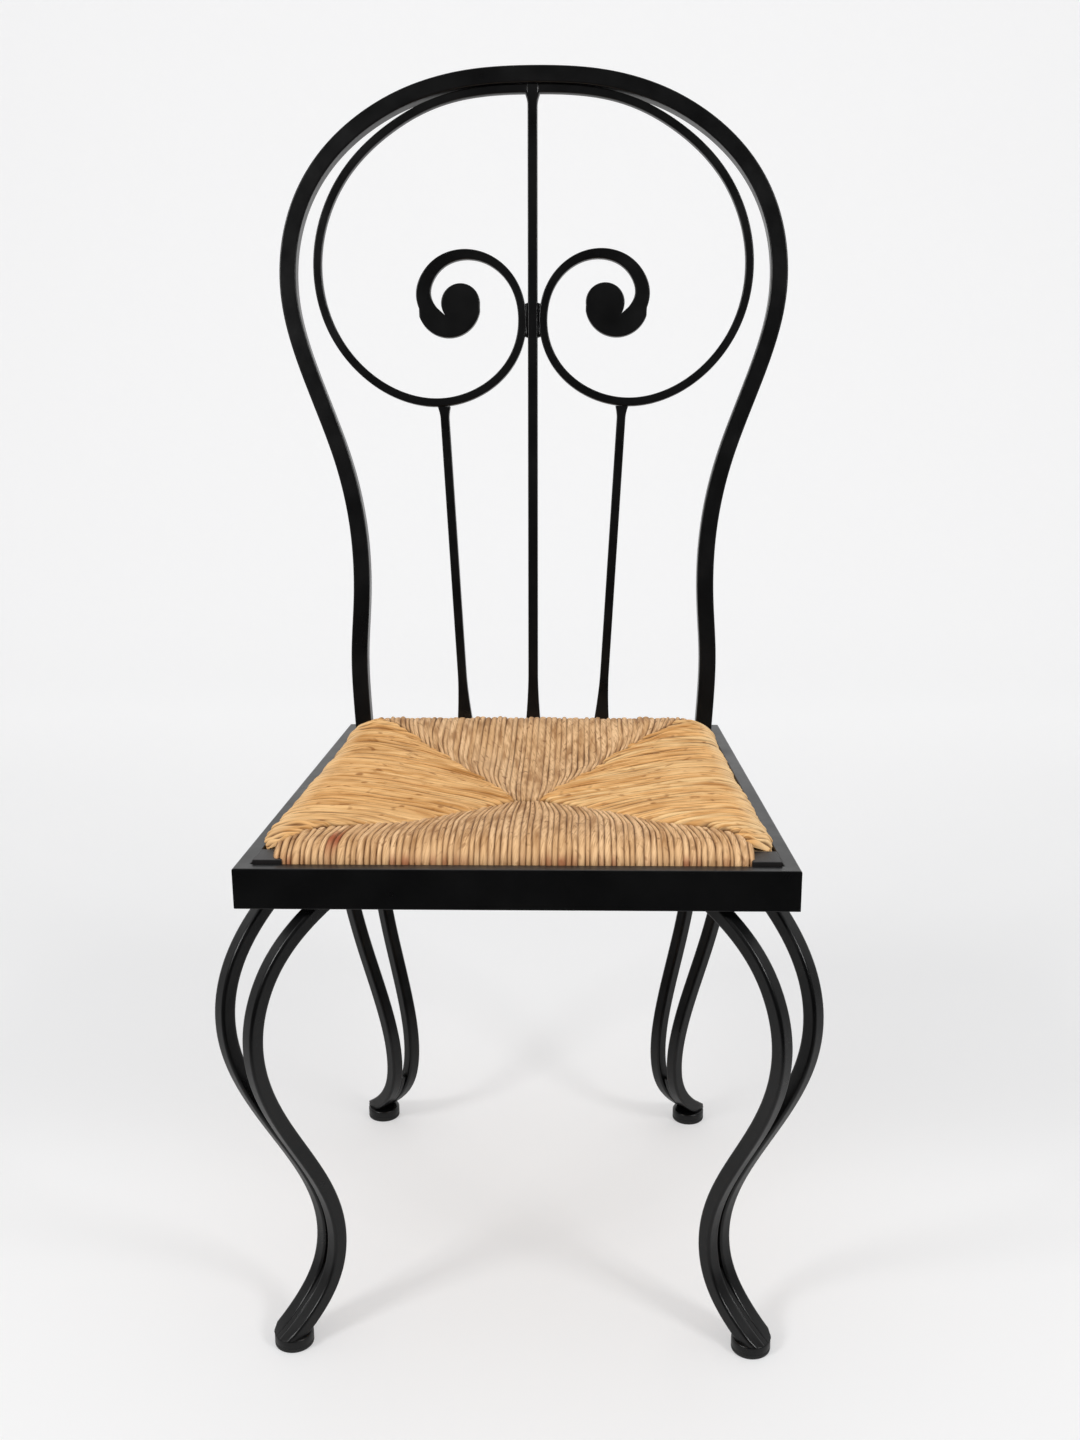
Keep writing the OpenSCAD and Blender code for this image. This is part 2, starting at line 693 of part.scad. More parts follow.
// Scraps of rush packed between the upper and the lower layer
module seat_stuffing() {
    y0 = seam_start(-1).y + clear;
    y1 = seam_start(1).y - clear;
    low = rush_bottom + rush_t + clear;
    high = rush_crest_z - dish - rush_t - clear;
    x0 = seam_start(-1).x - clear;
    x1 = seam_start(1).x - clear;
    color(STUFFING)
        translate([0, 0, low])
            linear_extrude(high - low)
                polygon([[-x0, y0], [x0, y0], [x1, y1], [-x1, y1]]);
}

in_place() front_rail();
in_place() rear_rail();
in_place() side_rail(-1);  // left_rail
in_place() side_rail(1);  // right_rail
for (c = CORNERS) {
    in_place() corner_plate(c);
    in_place() leg_bar_piece(c, 1);
    in_place() leg_bar_piece(c, -1);
    in_place() foot_pad(c);
    in_place() glide(c);
    in_place() corner_block(c);
}
in_place() back_hoop();
for (s = SIDES) {
    in_place() scroll(s[1]);
    in_place() spindle(s[1]);
    in_place() wood_side_rail(s[1]);
    in_place() rush_side(s[1]);
}
in_place() centre_bar();
in_place() back_welds();
in_place() wood_end_rail(-1);  // wood_front_rail
in_place() wood_end_rail(1);  // wood_rear_rail
in_place() seat_dowels();
in_place() seat_screws();
in_place() seat_stuffing();
in_place() rush_end(-1);  // rush_front
in_place() rush_end(1);  // rush_rear
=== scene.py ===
"""Looks of a wrought iron dining chair with a drop-in rush seat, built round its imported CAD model."""

import math

import bmesh
import bpy
import numpy as np
from mathutils import Matrix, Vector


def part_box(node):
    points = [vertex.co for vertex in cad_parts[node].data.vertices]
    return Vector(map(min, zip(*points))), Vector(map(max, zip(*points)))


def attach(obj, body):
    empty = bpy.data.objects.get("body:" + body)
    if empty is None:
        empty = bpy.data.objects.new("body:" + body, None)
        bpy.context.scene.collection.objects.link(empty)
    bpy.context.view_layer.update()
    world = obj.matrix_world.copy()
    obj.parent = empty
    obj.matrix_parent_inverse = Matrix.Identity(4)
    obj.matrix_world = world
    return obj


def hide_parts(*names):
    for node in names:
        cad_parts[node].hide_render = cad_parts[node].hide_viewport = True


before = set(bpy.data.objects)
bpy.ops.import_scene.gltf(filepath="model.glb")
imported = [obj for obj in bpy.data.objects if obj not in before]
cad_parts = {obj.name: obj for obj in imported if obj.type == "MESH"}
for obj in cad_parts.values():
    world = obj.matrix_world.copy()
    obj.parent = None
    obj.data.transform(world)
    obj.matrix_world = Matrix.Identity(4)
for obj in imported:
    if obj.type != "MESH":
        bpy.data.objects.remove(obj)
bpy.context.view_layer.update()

# Iron seat frame
# Four flat bars of black painted mild steel, mitred at the corners, welded and ground flush.
# The wooden seat drops in between them and rests on flat plates in the corners.
MM = 0.001
CORNERS = [("front_left", -1, -1), ("front_right", 1, -1), ("rear_left", -1, 1), ("rear_right", 1, 1)]
SIDES = [("left", -1), ("right", 1)]
RAIL_EDGE = 1.1
EDGE_STEPS = 4


def box_mm(node):
    """Lowest and highest corner of a CAD node, in millimetres."""
    low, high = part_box(node)
    return np.array(low) / MM, np.array(high) / MM


front_low, front_high = box_mm("front_rail")
rear_high = box_mm("rear_rail")[1]
front_y = front_low[1]
rear_y = rear_high[1]
frame_top = front_high[2]
rail_bottom = front_low[2]
rail_t = front_high[1] - front_low[1]
frame_depth = rear_y - front_y
half_front = front_high[0]
side_slope = (rear_high[0] - half_front) / frame_depth
side_slant = math.hypot(1, side_slope)


def side_x(y, inside):
    """X of a line parallel to the frame's side and this far inside it, at this distance behind the front."""
    return half_front + side_slope * y - inside * side_slant


def put_tubes(name, *tubes, sharp_over=40):
    """A mesh object at the origin from closed tubes, each an array of rings of points in millimetres:
    every quad joins a point and the next one to the next ring, and the first and last rings are closed.
    Edges sharper than this many degrees stay crisp, the rest are shaded smooth."""
    faces, start = [], 0
    for rings in tubes:
        count, around = rings.shape[:2]
        i, j = np.meshgrid(np.arange(count - 1), np.arange(around), indexing="ij")
        k = (j + 1) % around
        ring = start + i * around
        quads = np.stack([ring + j, ring + k, ring + around + k, ring + around + j], axis=-1)
        first = np.arange(start, start + around)
        last = first + (count - 1) * around
        faces += quads.reshape(-1, 4).tolist() + [first.tolist(), last.tolist()]
        start += count * around
    points = np.vstack([rings.reshape(-1, 3) for rings in tubes]) * MM
    mesh = bpy.data.meshes.new(name)
    mesh.from_pydata(points.tolist(), [], faces)
    build = bmesh.new()
    build.from_mesh(mesh)
    bmesh.ops.recalc_face_normals(build, faces=build.faces)
    build.to_mesh(mesh)
    build.free()
    mesh.shade_smooth()
    mesh.set_sharp_from_angle(angle=math.radians(sharp_over))
    piece = bpy.data.objects.new(name, mesh)
    bpy.context.scene.collection.objects.link(piece)
    return piece


def arc_about(centre, radius, start, stop, steps):
    """Points of a circle about a centre, from one angle to another: its cosine and sine times the radius."""
    turn = np.radians(np.linspace(start, stop, steps))
    return centre + radius * np.stack([np.cos(turn), np.sin(turn)], axis=1)


def bar_profile(wide, high, edge):
    """Outline of a bar with rounded edges, in order round it: a quarter circle at each corner, and a
    point a little way along each flat side, so that the flat stays flat in the shading."""
    corner = arc_about(0, edge, 0, 90, EDGE_STEPS)
    lead = 0.3 * edge
    corner = np.vstack([corner[0] - [0, lead], corner, corner[-1] - [lead, 0]])
    outline = []
    for quarter in range(4):
        a = quarter * math.pi / 2
        spin = np.array([[math.cos(a), -math.sin(a)], [math.sin(a), math.cos(a)]])
        reach = np.array([wide, high] if quarter % 2 == 0 else [high, wide])
        outline.append((corner + reach / 2 - edge) @ spin.T)
    return np.vstack(outline)


def noise_of(tree, vector, scale, detail):
    """A noise texture over a vector, with this many cells to its unit."""
    noise = tree.nodes.new("ShaderNodeTexNoise")
    noise.inputs["Scale"].default_value = scale
    noise.inputs["Detail"].default_value = detail
    tree.links.new(vector, noise.inputs["Vector"])
    return noise.outputs["Fac"]


def between(tree, share, low, high, share_low=0.0, share_high=1.0):
    """Map Range: a share from share_low to share_high becomes a value from low to high."""
    remap = tree.nodes.new("ShaderNodeMapRange")
    remap.inputs["From Min"].default_value = share_low
    remap.inputs["From Max"].default_value = share_high
    remap.inputs["To Min"].default_value = low
    remap.inputs["To Max"].default_value = high
    tree.links.new(share, remap.inputs["Value"])
    return remap.outputs["Result"]


def blended(tree, share, low, high):
    """A colour between two, by a share. Each is a colour or another node's output."""
    mix = tree.nodes.new("ShaderNodeMix")
    mix.data_type = "RGBA"
    tree.links.new(share, mix.inputs["Factor"])
    for socket, colour in ((mix.inputs["A"], low), (mix.inputs["B"], high)):
        if isinstance(colour, tuple):
            socket.default_value = (*colour, 1)
        else:
            tree.links.new(colour, socket)
    return mix.outputs["Result"]


def bumped(tree, height, distance, normal=None):
    """A normal bent by a height, whose full step stands this many metres proud."""
    bump = tree.nodes.new("ShaderNodeBump")
    bump.inputs["Distance"].default_value = distance
    tree.links.new(height, bump.inputs["Height"])
    if normal is not None:
        tree.links.new(normal, bump.inputs["Normal"])
    return bump.outputs["Normal"]


def new_material(name):
    """An empty node material: its tree and its Principled BSDF."""
    material = bpy.data.materials.new(name)
    material.use_nodes = True
    tree = material.node_tree
    return material, tree, tree.nodes["Principled BSDF"]


def object_point(tree):
    """Object coordinates, in metres."""
    return tree.nodes.new("ShaderNodeTexCoord").outputs["Object"]


def feed(tree, shader, colour, roughness, normal):
    """Links a colour, a roughness and a normal to a material's shader."""
    tree.links.new(colour, shader.inputs["Base Color"])
    tree.links.new(roughness, shader.inputs["Roughness"])
    tree.links.new(normal, shader.inputs["Normal"])


def black_iron_paint():
    """Satin black paint, brushed on: it is slightly uneven in gloss, and lies over a forged surface."""
    material, tree, paint = new_material("black_iron_paint")
    point = object_point(tree)
    cloudy = noise_of(tree, point, scale=26, detail=3)
    pores = noise_of(tree, point, scale=700, detail=2)
    hammered = noise_of(tree, point, scale=75, detail=1)
    colour = blended(tree, cloudy, (0.0015, 0.0015, 0.0017), (0.0035, 0.0035, 0.0038))
    roughness = between(tree, cloudy, 0.27, 0.37, 0.3, 0.7)
    brushed = bumped(tree, pores, distance=0.00005)
    feed(tree, paint, colour, roughness, bumped(tree, hammered, distance=0.0002, normal=brushed))
    return material


iron = black_iron_paint()


def finished(piece, material, slot, *nodes):
    """Gives a new piece its material, fixes it to the chair and hides the CAD nodes it is for. The slot is
    not used.
    """
    piece.data.materials.append(material)
    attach(piece, "root")
    if nodes:
        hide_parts(*nodes)


def coated(node, material):
    """Gives a CAD node that keeps its shape a better material."""
    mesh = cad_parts[node].data
    mesh.materials.clear()
    mesh.materials.append(material)


def iron_piece(node, made, *tubes):
    """An iron piece in the place of a CAD node, named after the node and how it is made."""
    finished(put_tubes(node + made, *tubes), iron, "iron", node)


rail_section = bar_profile(rail_t, frame_top - rail_bottom, RAIL_EDGE)
rail_in = rail_section[:, 0] + rail_t / 2
rail_z = rail_section[:, 1] + (frame_top + rail_bottom) / 2


def mitred_rail(ends):
    """A rail's section carried between two mitres: each end gives the X and Y of all its points."""
    return np.stack([np.stack([x, y, rail_z], axis=1) for x, y in ends])


for name, from_front in (("front_rail", rail_in), ("rear_rail", frame_depth - rail_in)):
    x = side_x(from_front, rail_in)
    rail = mitred_rail([(-x, front_y + from_front), (x, front_y + from_front)])
    iron_piece(name, "_bar", rail)
for side, sign in SIDES:
    ends = [(sign * side_x(y, rail_in), front_y + y) for y in (rail_in, frame_depth - rail_in)]
    iron_piece(side + "_rail", "_bar", mitred_rail(ends))
for corner, sign, end in CORNERS:
    coated(corner + "_corner_plate", iron)

# Legs
# Each leg is two square bars with eased edges, bent cold to the same S. They stand apart under the
# seat, close up below the knee and are welded side by side onto a round foot.
LEG_BAR = 13
LEG_EDGE = 2.2
LEG_CLEAR = 0.3
LEG_RINGS = 110
LEG_WELD_FROM = 0.88
LEG_WELD_FILL = 0.08
LEG_WELD_W = 5.6
LEG_WELD_EDGE = 1.2
LEG_WELD_RINGS = 40
LEVEL_RUN = 34
GROUND_UP = 20
GROUND_OVER = 1.02
# Pulls of a leg's path from the seat down: the share of its height, how far out along the corner's
# diagonal, and how far apart the two bars stand, for the front (-1) and the rear (1).
LEG_DOWN = np.array([0, 1 / 18, 1 / 6, 1 / 3, 1 / 2, 2 / 3, 5 / 6, 17 / 18, 1])
LEG_OUT = {-1: [-36, 2, 37, 39, 7, -34, -52, -30.5, 5.5], 1: [-27, -3, 36, 25, 4, -28, -45, -27, 8]}
LEG_APART = {-1: [23.5, 18, 16.5, 11.5, 2, 2, 1, 2, 1], 1: [31, 26, 20, 15, 12, 8, 5, 3, 0]}
pad_low, pad_high = box_mm("front_left_foot_pad")
foot_r = (pad_high[0] - pad_low[0]) / 2
foot_top = pad_high[2]


def pulled_curve(pulls, shares):
    """Clamped cubic B-spline at these shares of its length, by de Boor's rule: it starts at the first
    point and ends at the last, and the points between only pull it."""
    pulls = np.asarray(pulls, float)
    n = len(pulls)
    u = np.clip(shares, 0, 1) * (n - 3)
    span = np.minimum(np.floor(u).astype(int), n - 4) + 3
    knots = np.clip(np.arange(n + 4) - 3, 0, n - 3)
    near = [pulls[span - 3 + j] for j in range(4)]
    for level in range(1, 4):
        for j in range(3, level - 1, -1):
            low = knots[span - 3 + j]
            share = ((u - low) / (knots[span + 1 + j - level] - low))[:, None]
            near[j] = (1 - share) * near[j - 1] + share * near[j]
    return near[3]


def unit_rows(v):
    """Each row of an array, at length one."""
    return v / np.linalg.norm(v, axis=-1, keepdims=True)


def carried_along(path, across, profile, deep=1.0):
    """A profile carried along a path, square to it: its first axis points across the path, its second
    is square to both and is scaled by deep. Near the two ends the rings lean over, by the rest of the
    run to the power 1.5, until the end rings are level."""
    along = unit_rows(np.gradient(path, axis=0))
    across = np.broadcast_to(across, path.shape)
    across = unit_rows(across - (across * along).sum(1, keepdims=True) * along)
    up = np.cross(along, across)
    deep = np.broadcast_to(deep, (len(path),))[:, None, None]
    rings = path[:, None] + profile[None, :, :1] * across[:, None] + deep * profile[None, :, 1:] * up[:, None]
    length = np.concatenate([[0], np.cumsum(np.linalg.norm(np.diff(path, axis=0), axis=1))])
    to_end = np.minimum(length, length[-1] - length)
    lean = np.clip(1 - to_end / LEVEL_RUN, 0, 1) ** 1.5
    fall = (path[:, None, 2] - rings[:, :, 2]) / np.where(abs(along[:, 2]) > 0.1, along[:, 2], 1)[:, None]
    return rings + (lean[:, None] * fall)[..., None] * along[:, None]


def leg_rings(foot, sign, end, towards, shares, profile, deep=1.0):
    """Rings of one leg bar: its path is pulled outwards along the corner's diagonal, the bar stands off
    it to one side, and its outer end is ground round to the foot. The weld between two bars has 0 for
    towards, and follows the same path in their middle."""
    outwards = np.array([sign, end, 0]) / math.sqrt(2)
    aside = np.array([-sign, end, 0]) / math.sqrt(2)
    out = np.array(LEG_OUT[end], float)
    apart = np.array(LEG_APART[end], float) + (LEG_BAR + LEG_CLEAR) / 2
    pulls = np.array([*foot, 0]) + out[:, None] * outwards + towards * apart[:, None] * aside
    pulls[:, 2] = rail_bottom - LEG_DOWN * (rail_bottom - foot_top)
    rings = carried_along(pulled_curve(pulls, shares), aside, profile, deep)
    off = rings[..., :2] - foot
    reach = np.linalg.norm(off, axis=-1, keepdims=True)
    at_foot = (rings[..., 2:] < foot_top + GROUND_UP) & ((off * outwards[:2]).sum(-1, keepdims=True) > 0)
    kept = np.where(at_foot, np.minimum(1, foot_r * GROUND_OVER / np.maximum(reach, 1)), 1)
    rings[..., :2] = foot + off * kept
    return rings


for corner, sign, end in CORNERS:
    low, high = box_mm(corner + "_foot_pad")
    foot = ((low + high) / 2)[:2]
    for kind, towards in (("front" if end < 0 else "rear", 1), ("side", -1)):
        shares = np.linspace(0, 1, LEG_RINGS)
        rings = leg_rings(foot, sign, end, towards, shares, bar_profile(LEG_BAR, LEG_BAR, LEG_EDGE))
        iron_piece(f"{corner}_leg_{kind}_bar", "_bent", rings)
    shares = np.linspace(LEG_WELD_FROM, 1, LEG_WELD_RINGS)
    deep = 0.55 + 0.4 * np.clip((shares - LEG_WELD_FROM) / LEG_WELD_FILL, 0, 1)
    profile = bar_profile(LEG_WELD_W, LEG_BAR, LEG_WELD_EDGE)
    rings = leg_rings(foot, sign, end, 0, shares, profile, deep)
    finished(put_tubes(corner + "_leg_weld", rings), iron, "iron")

# Feet
# A round steel pad, turned with eased edges, is welded under each pair of bars, and a plastic glide
# with a stem is pressed into it from below.
FOOT_STEPS = 56
PAD_EDGE = 1.6
PAD_LOW_EDGE = 0.5
PAD_EDGE_STEPS = 5
STEM_R = 2.7
STEM_OVER = 0.4


def turned(profile, centre):
    """A turned piece: rings of points at each radius and height of the profile, about a vertical axis."""
    turn = np.linspace(0, 2 * math.pi, FOOT_STEPS, endpoint=False)
    radius, height = np.asarray(profile, float).T
    return np.stack([
        centre[0] + radius[:, None] * np.cos(turn),
        centre[1] + radius[:, None] * np.sin(turn),
        np.broadcast_to(height[:, None], (len(radius), FOOT_STEPS)),
    ], axis=-1)


def glide_plastic():
    """Matt black moulded plastic with a fine grain."""
    material, tree, plastic = new_material("glide_plastic")
    grain = noise_of(tree, object_point(tree), scale=900, detail=2)
    colour = blended(tree, grain, (0.008, 0.008, 0.008), (0.016, 0.016, 0.016))
    feed(tree, plastic, colour, between(tree, grain, 0.5, 0.62), bumped(tree, grain, distance=0.00008))
    return material


moulded = glide_plastic()
glide_top = pad_low[2]
for corner, sign, end in CORNERS:
    low, high = box_mm(corner + "_foot_pad")
    stem_top = box_mm(corner + "_glide")[1][2] + STEM_OVER
    profile = np.vstack([
        [[STEM_R, stem_top], [STEM_R, glide_top]],
        arc_about((foot_r - PAD_LOW_EDGE, glide_top + PAD_LOW_EDGE), PAD_LOW_EDGE, -90, 0, PAD_EDGE_STEPS),
        arc_about((foot_r - PAD_EDGE, foot_top - PAD_EDGE), PAD_EDGE, 0, 90, PAD_EDGE_STEPS),
        [[foot_r - PAD_EDGE - 1, foot_top]],
    ])
    iron_piece(corner + "_foot_pad", "_turned", turned(profile, (low + high) / 2))
    coated(corner + "_glide", moulded)

# Back
# The hoop is one square bar bent round from foot to foot. Inside it, two thinner bars are scrolled
# to a solid heel and eye, and meet a straight middle bar. Two spindles stand under the scrolls.
RECLINE = math.radians(10)
HOOP_BAR = 17
HOOP_EDGE = 1.3
HOOP_RINGS = 120
SCROLL_BAR = 8.5
SCROLL_EDGE = 1.0
SCROLL_STEPS = 260
OUTER_TO = 0.98
INNER_TO = 0.99
HEEL_W = 17.5
WIDEN_FROM = 0.72
HEEL_R = 32.5
EYE_R = 20
EYE = np.array([74.5, 438])
HEEL = np.array([86.5, 435.5])
CENTRE_BAR = 10
CENTRE_FOOT = 16
CENTRE_COLLAR = 15
SPINDLE = 9
SPINDLE_FOOT = 17
SPINDLE_COLLAR = 13
SPINDLE_FOOT_X = 71.4
SPINDLE_TOP_X = 92.0
SPINDLE_TOP_OUT = 2
THIN_EDGE = 0.9
FLARE_L = 55
COLLAR_L = 12
BACK_CLEAR = 0.15
WELD_UP = 420.5
WELD_L = 36
WELD_IN = 0.6
WELD_EDGE = 1.6
# Pulls of the hoop's and the scroll's path, from the top of the middle: X, and the way up the back.
HOOP_SHAPE = [
    (0, 664.5), (43, 664.5), (95, 658), (158, 633), (215, 587), (250, 522), (256, 440),
    (229, 360), (196, 281), (180, 206), (178, 135), (184, 77), (181, 33), (178.5, 0),
]
SCROLL_SHAPE = [
    (5.3, 651.45), (38, 651.45), (87, 646.95), (144, 619), (199, 570), (228, 494), (216, 412), (165, 352),
    (99, 330), (40, 351), (8, 396), (11, 453), (43, 486), (82, 490), (112, 469), (117, 437), (97, 419.5),
]
plane_y = rear_y - HOOP_BAR / 2 / math.cos(RECLINE)
back_up = np.array([0, math.sin(RECLINE), math.cos(RECLINE)])
back_out = np.array([0, -math.cos(RECLINE), math.sin(RECLINE)])


def on_back(flat, out=0.0):
    """Points of the leaning plane: X stays, the second number runs up the back, and out is the
    distance in front of the plane."""
    flat = np.asarray(flat, float)
    start = np.array([0, plane_y, frame_top])
    x = flat[..., :1] * np.array([1, 0, 0])
    return start + x + flat[..., 1:] * back_up + np.asarray(out)[..., None] * back_out


def beside_middle(sign):
    """on_back for one side of the back, where X counts outwards from the middle."""
    return lambda flat, out: on_back(flat * [sign, 1], out)


half_hoop = pulled_curve(HOOP_SHAPE, np.linspace(0, 1, HOOP_RINGS))
whole_hoop = np.vstack([half_hoop[::-1] * [-1, 1], half_hoop[1:]])
hoop = carried_along(on_back(whole_hoop), back_out, bar_profile(HOOP_BAR, HOOP_BAR, HOOP_EDGE))
iron_piece("back_hoop", "_bent", hoop)


def outward_mitres(outline):
    """For each point of a closed outline walked clockwise, the step that moves both of its sides out by
    one: the sum of their normals over one more than the normals' product, at most 1.6 long."""
    along = unit_rows(np.roll(outline, -1, axis=0) - outline)
    after = np.stack([-along[:, 1], along[:, 0]], axis=1)
    before = np.roll(after, 1, axis=0)
    step = (before + after) / np.maximum(1 + (before * after).sum(1, keepdims=True), 0.2)
    return step * np.minimum(1, 1.6 / np.linalg.norm(step, axis=1, keepdims=True))


def cut_from_plate(outline, thick, edge, placed):
    """A flat piece with rounded edges: at each depth through its thickness the outline is drawn in by a
    quarter circle's share, and once more on the two flat faces, so that they stay flat in the shading.
    placed puts the outline's points and a depth into space."""
    x, y = outline.T
    if (x * np.roll(y, -1) - np.roll(x, -1) * y).sum() > 0:
        outline = outline[::-1]
    turn = np.linspace(0, math.pi / 2, EDGE_STEPS)
    drawn_in = edge * (1 - np.cos(turn))
    depth = thick / 2 - edge + edge * np.sin(turn)
    layers = [(0.35 * edge + edge, thick / 2), *zip(drawn_in[::-1], depth[::-1])]
    layers += [(inset, -d) for inset, d in layers[::-1]]
    mitres = outward_mitres(outline)
    return np.stack([placed(outline - inset * mitres, d) for inset, d in layers])


def edge_of(path, half_w):
    """Points beside a path in the plane, at half a width to its left."""
    along = unit_rows(np.gradient(path, axis=0))
    return path + half_w[:, None] * np.stack([-along[:, 1], along[:, 0]], axis=1)


# The scroll widens towards its heel, by the share of the way to the power 1.8.
scroll_share = np.linspace(0, 1, SCROLL_STEPS)
scroll_path = pulled_curve(SCROLL_SHAPE, scroll_share)
widened = (np.clip(scroll_share - WIDEN_FROM, 0, 1) / (1 - WIDEN_FROM)) ** 1.8
scroll_half = (SCROLL_BAR + (HEEL_W - SCROLL_BAR) * widened) / 2
scroll_outer = edge_of(scroll_path, scroll_half)[scroll_share < OUTER_TO]
scroll_inner = edge_of(scroll_path, -scroll_half)[scroll_share < INNER_TO]
scroll_outline = np.vstack([
    scroll_outer,
    arc_about(HEEL, HEEL_R, start=-20, stop=-170, steps=44),
    arc_about(EYE, EYE_R, start=186, stop=-39, steps=60),
    scroll_inner[::-1],
])
for side, sign in SIDES:
    scroll = cut_from_plate(scroll_outline, SCROLL_BAR, SCROLL_EDGE, beside_middle(sign))
    iron_piece(side + "_scroll", "_bent", scroll)


def drawn_bar(wide, foot, collar, collar_top, top, lean=0.0):
    """Outline of a straight bar up the back, about x = lean times height. Its half width grows towards
    the foot by the flare's share to the power 1.6, and the weld's collar under a scroll is a quarter
    of a cosine wave."""
    up = np.concatenate([
        np.linspace(0.05, FLARE_L, 18),
        np.linspace(collar_top - COLLAR_L, collar_top, 9),
        [collar_top + 0.1, top],
    ])
    flare = np.clip(1 - up / FLARE_L, 0, 1) ** 1.6 * (foot - wide)
    near = np.clip((up - collar_top + COLLAR_L) / COLLAR_L, 0, 1) * (up <= collar_top)
    half = (wide + flare + (collar - wide) * (1 - np.cos(near * math.pi / 2))) / 2
    right_edge = np.stack([half + lean * up, up], axis=1)
    left_edge = np.stack([lean * up - half, up], axis=1)
    return np.vstack([left_edge, right_edge[::-1]])


centre_top = HOOP_SHAPE[0][1] - HOOP_BAR / 2 - BACK_CLEAR
scroll_under = SCROLL_SHAPE[0][1] - SCROLL_BAR / 2 - BACK_CLEAR
centre_outline = drawn_bar(CENTRE_BAR, CENTRE_FOOT, CENTRE_COLLAR, scroll_under, centre_top)
centre_bar = cut_from_plate(centre_outline, CENTRE_BAR, THIN_EDGE, on_back)
iron_piece("centre_bar", "_drawn", centre_bar)
spindle_top = scroll_outer[:, 1].min() - 0.1
spindle_lean = (SPINDLE_TOP_X - SPINDLE_FOOT_X) / spindle_top
spindle_outline = drawn_bar(
    SPINDLE, SPINDLE_FOOT, SPINDLE_COLLAR, spindle_top - 0.2, spindle_top, spindle_lean)
last_left = len(spindle_outline) // 2 - 1
spindle_outline[last_left:last_left + 2, 0] += [-SPINDLE_TOP_OUT, SPINDLE_TOP_OUT]
spindle_outline = spindle_outline + [SPINDLE_FOOT_X, 0]
for side, sign in SIDES:
    spindle = cut_from_plate(spindle_outline, SPINDLE, THIN_EDGE, beside_middle(sign))
    iron_piece(side + "_spindle", "_drawn", spindle)

# The weld beads lie between the middle bar's sides and the scrolls' inner turns, and sink into both.
outer_share = scroll_share[:len(scroll_outer)]
inner_turn = scroll_outer[(outer_share > 0.5) & (outer_share < 0.75)]
inner_turn = inner_turn[abs(inner_turn[:, 1] - WELD_UP) < WELD_L / 2] + [WELD_IN, 0]
bar_side = CENTRE_BAR / 2 - WELD_IN
weld_outline = np.vstack([[bar_side, WELD_UP - WELD_L / 2], inner_turn, [bar_side, WELD_UP + WELD_L / 2]])
bead_t = SCROLL_BAR - WELD_EDGE
beads = [cut_from_plate(weld_outline, bead_t, WELD_EDGE, beside_middle(sign)) for side, sign in SIDES]
iron_piece("back_welds", "_run", *beads)

# Wooden seat frame
# Four plain rails are dowelled between four corner blocks. The blocks are stained black, stand a
# little above the iron and are screwed down from below; the rush hides the rest.
BLOCK_EDGE = 0.8
block_low, block_high = box_mm("front_left_corner_block")


def new_group(name, inputs, outputs):
    """A shader group with its input and output nodes. Each named socket is a Color, Vector or Float."""
    group = bpy.data.node_groups.new(name, "ShaderNodeTree")
    for way, sockets in (("INPUT", inputs), ("OUTPUT", outputs)):
        for label, kind in sockets.items():
            group.interface.new_socket(label, in_out=way, socket_type="NodeSocket" + kind)
    return group, group.nodes.new("NodeGroupInput"), group.nodes.new("NodeGroupOutput")


def times_plus(tree, value, factor, added):
    """A value times a factor plus another value."""
    sum_node = tree.nodes.new("ShaderNodeMath")
    sum_node.operation = "MULTIPLY_ADD"
    sum_node.inputs[1].default_value = factor
    tree.links.new(value, sum_node.inputs[0])
    tree.links.new(added, sum_node.inputs[2])
    return sum_node.outputs[0]


def group_in(tree, group, colours):
    """A shader group placed in a material with its own colours."""
    node = tree.nodes.new("ShaderNodeGroup")
    node.node_tree = group
    for socket, colour in colours.items():
        node.inputs[socket].default_value = (*colour, 1)
    return node


def wood_grain_group():
    """Shader group: fibres stretched along one axis, and growth rings as wide wavy bands across it."""
    group, inside, outside = new_group(
        "wood_grain", dict(Vector="Vector", Light="Color", Dark="Color"), dict(Color="Color", Height="Float"))
    stretch = group.nodes.new("ShaderNodeMapping")
    stretch.inputs["Scale"].default_value = (30, 4, 30)
    group.links.new(inside.outputs["Vector"], stretch.inputs["Vector"])
    rings = noise_of(group, stretch.outputs["Vector"], scale=4, detail=2)
    fibres = noise_of(group, stretch.outputs["Vector"], scale=22, detail=4)
    both = times_plus(group, rings, 0.6, between(group, fibres, 0, 0.4))
    colour = blended(group, both, inside.outputs["Dark"], inside.outputs["Light"])
    group.links.new(colour, outside.inputs["Color"])
    group.links.new(both, outside.inputs["Height"])
    return group


wood_grain = wood_grain_group()


def grained_wood(name, rough, **colours):
    """Planed wood with its grain running from front to back, in two colours."""
    material, tree, wood = new_material(name)
    grain = group_in(tree, wood_grain, colours)
    tree.links.new(object_point(tree), grain.inputs["Vector"])
    height = grain.outputs["Height"]
    roughness = between(tree, height, rough + 0.08, rough - 0.05)
    feed(tree, wood, grain.outputs["Color"], roughness, bumped(tree, height, distance=0.0003))
    return material


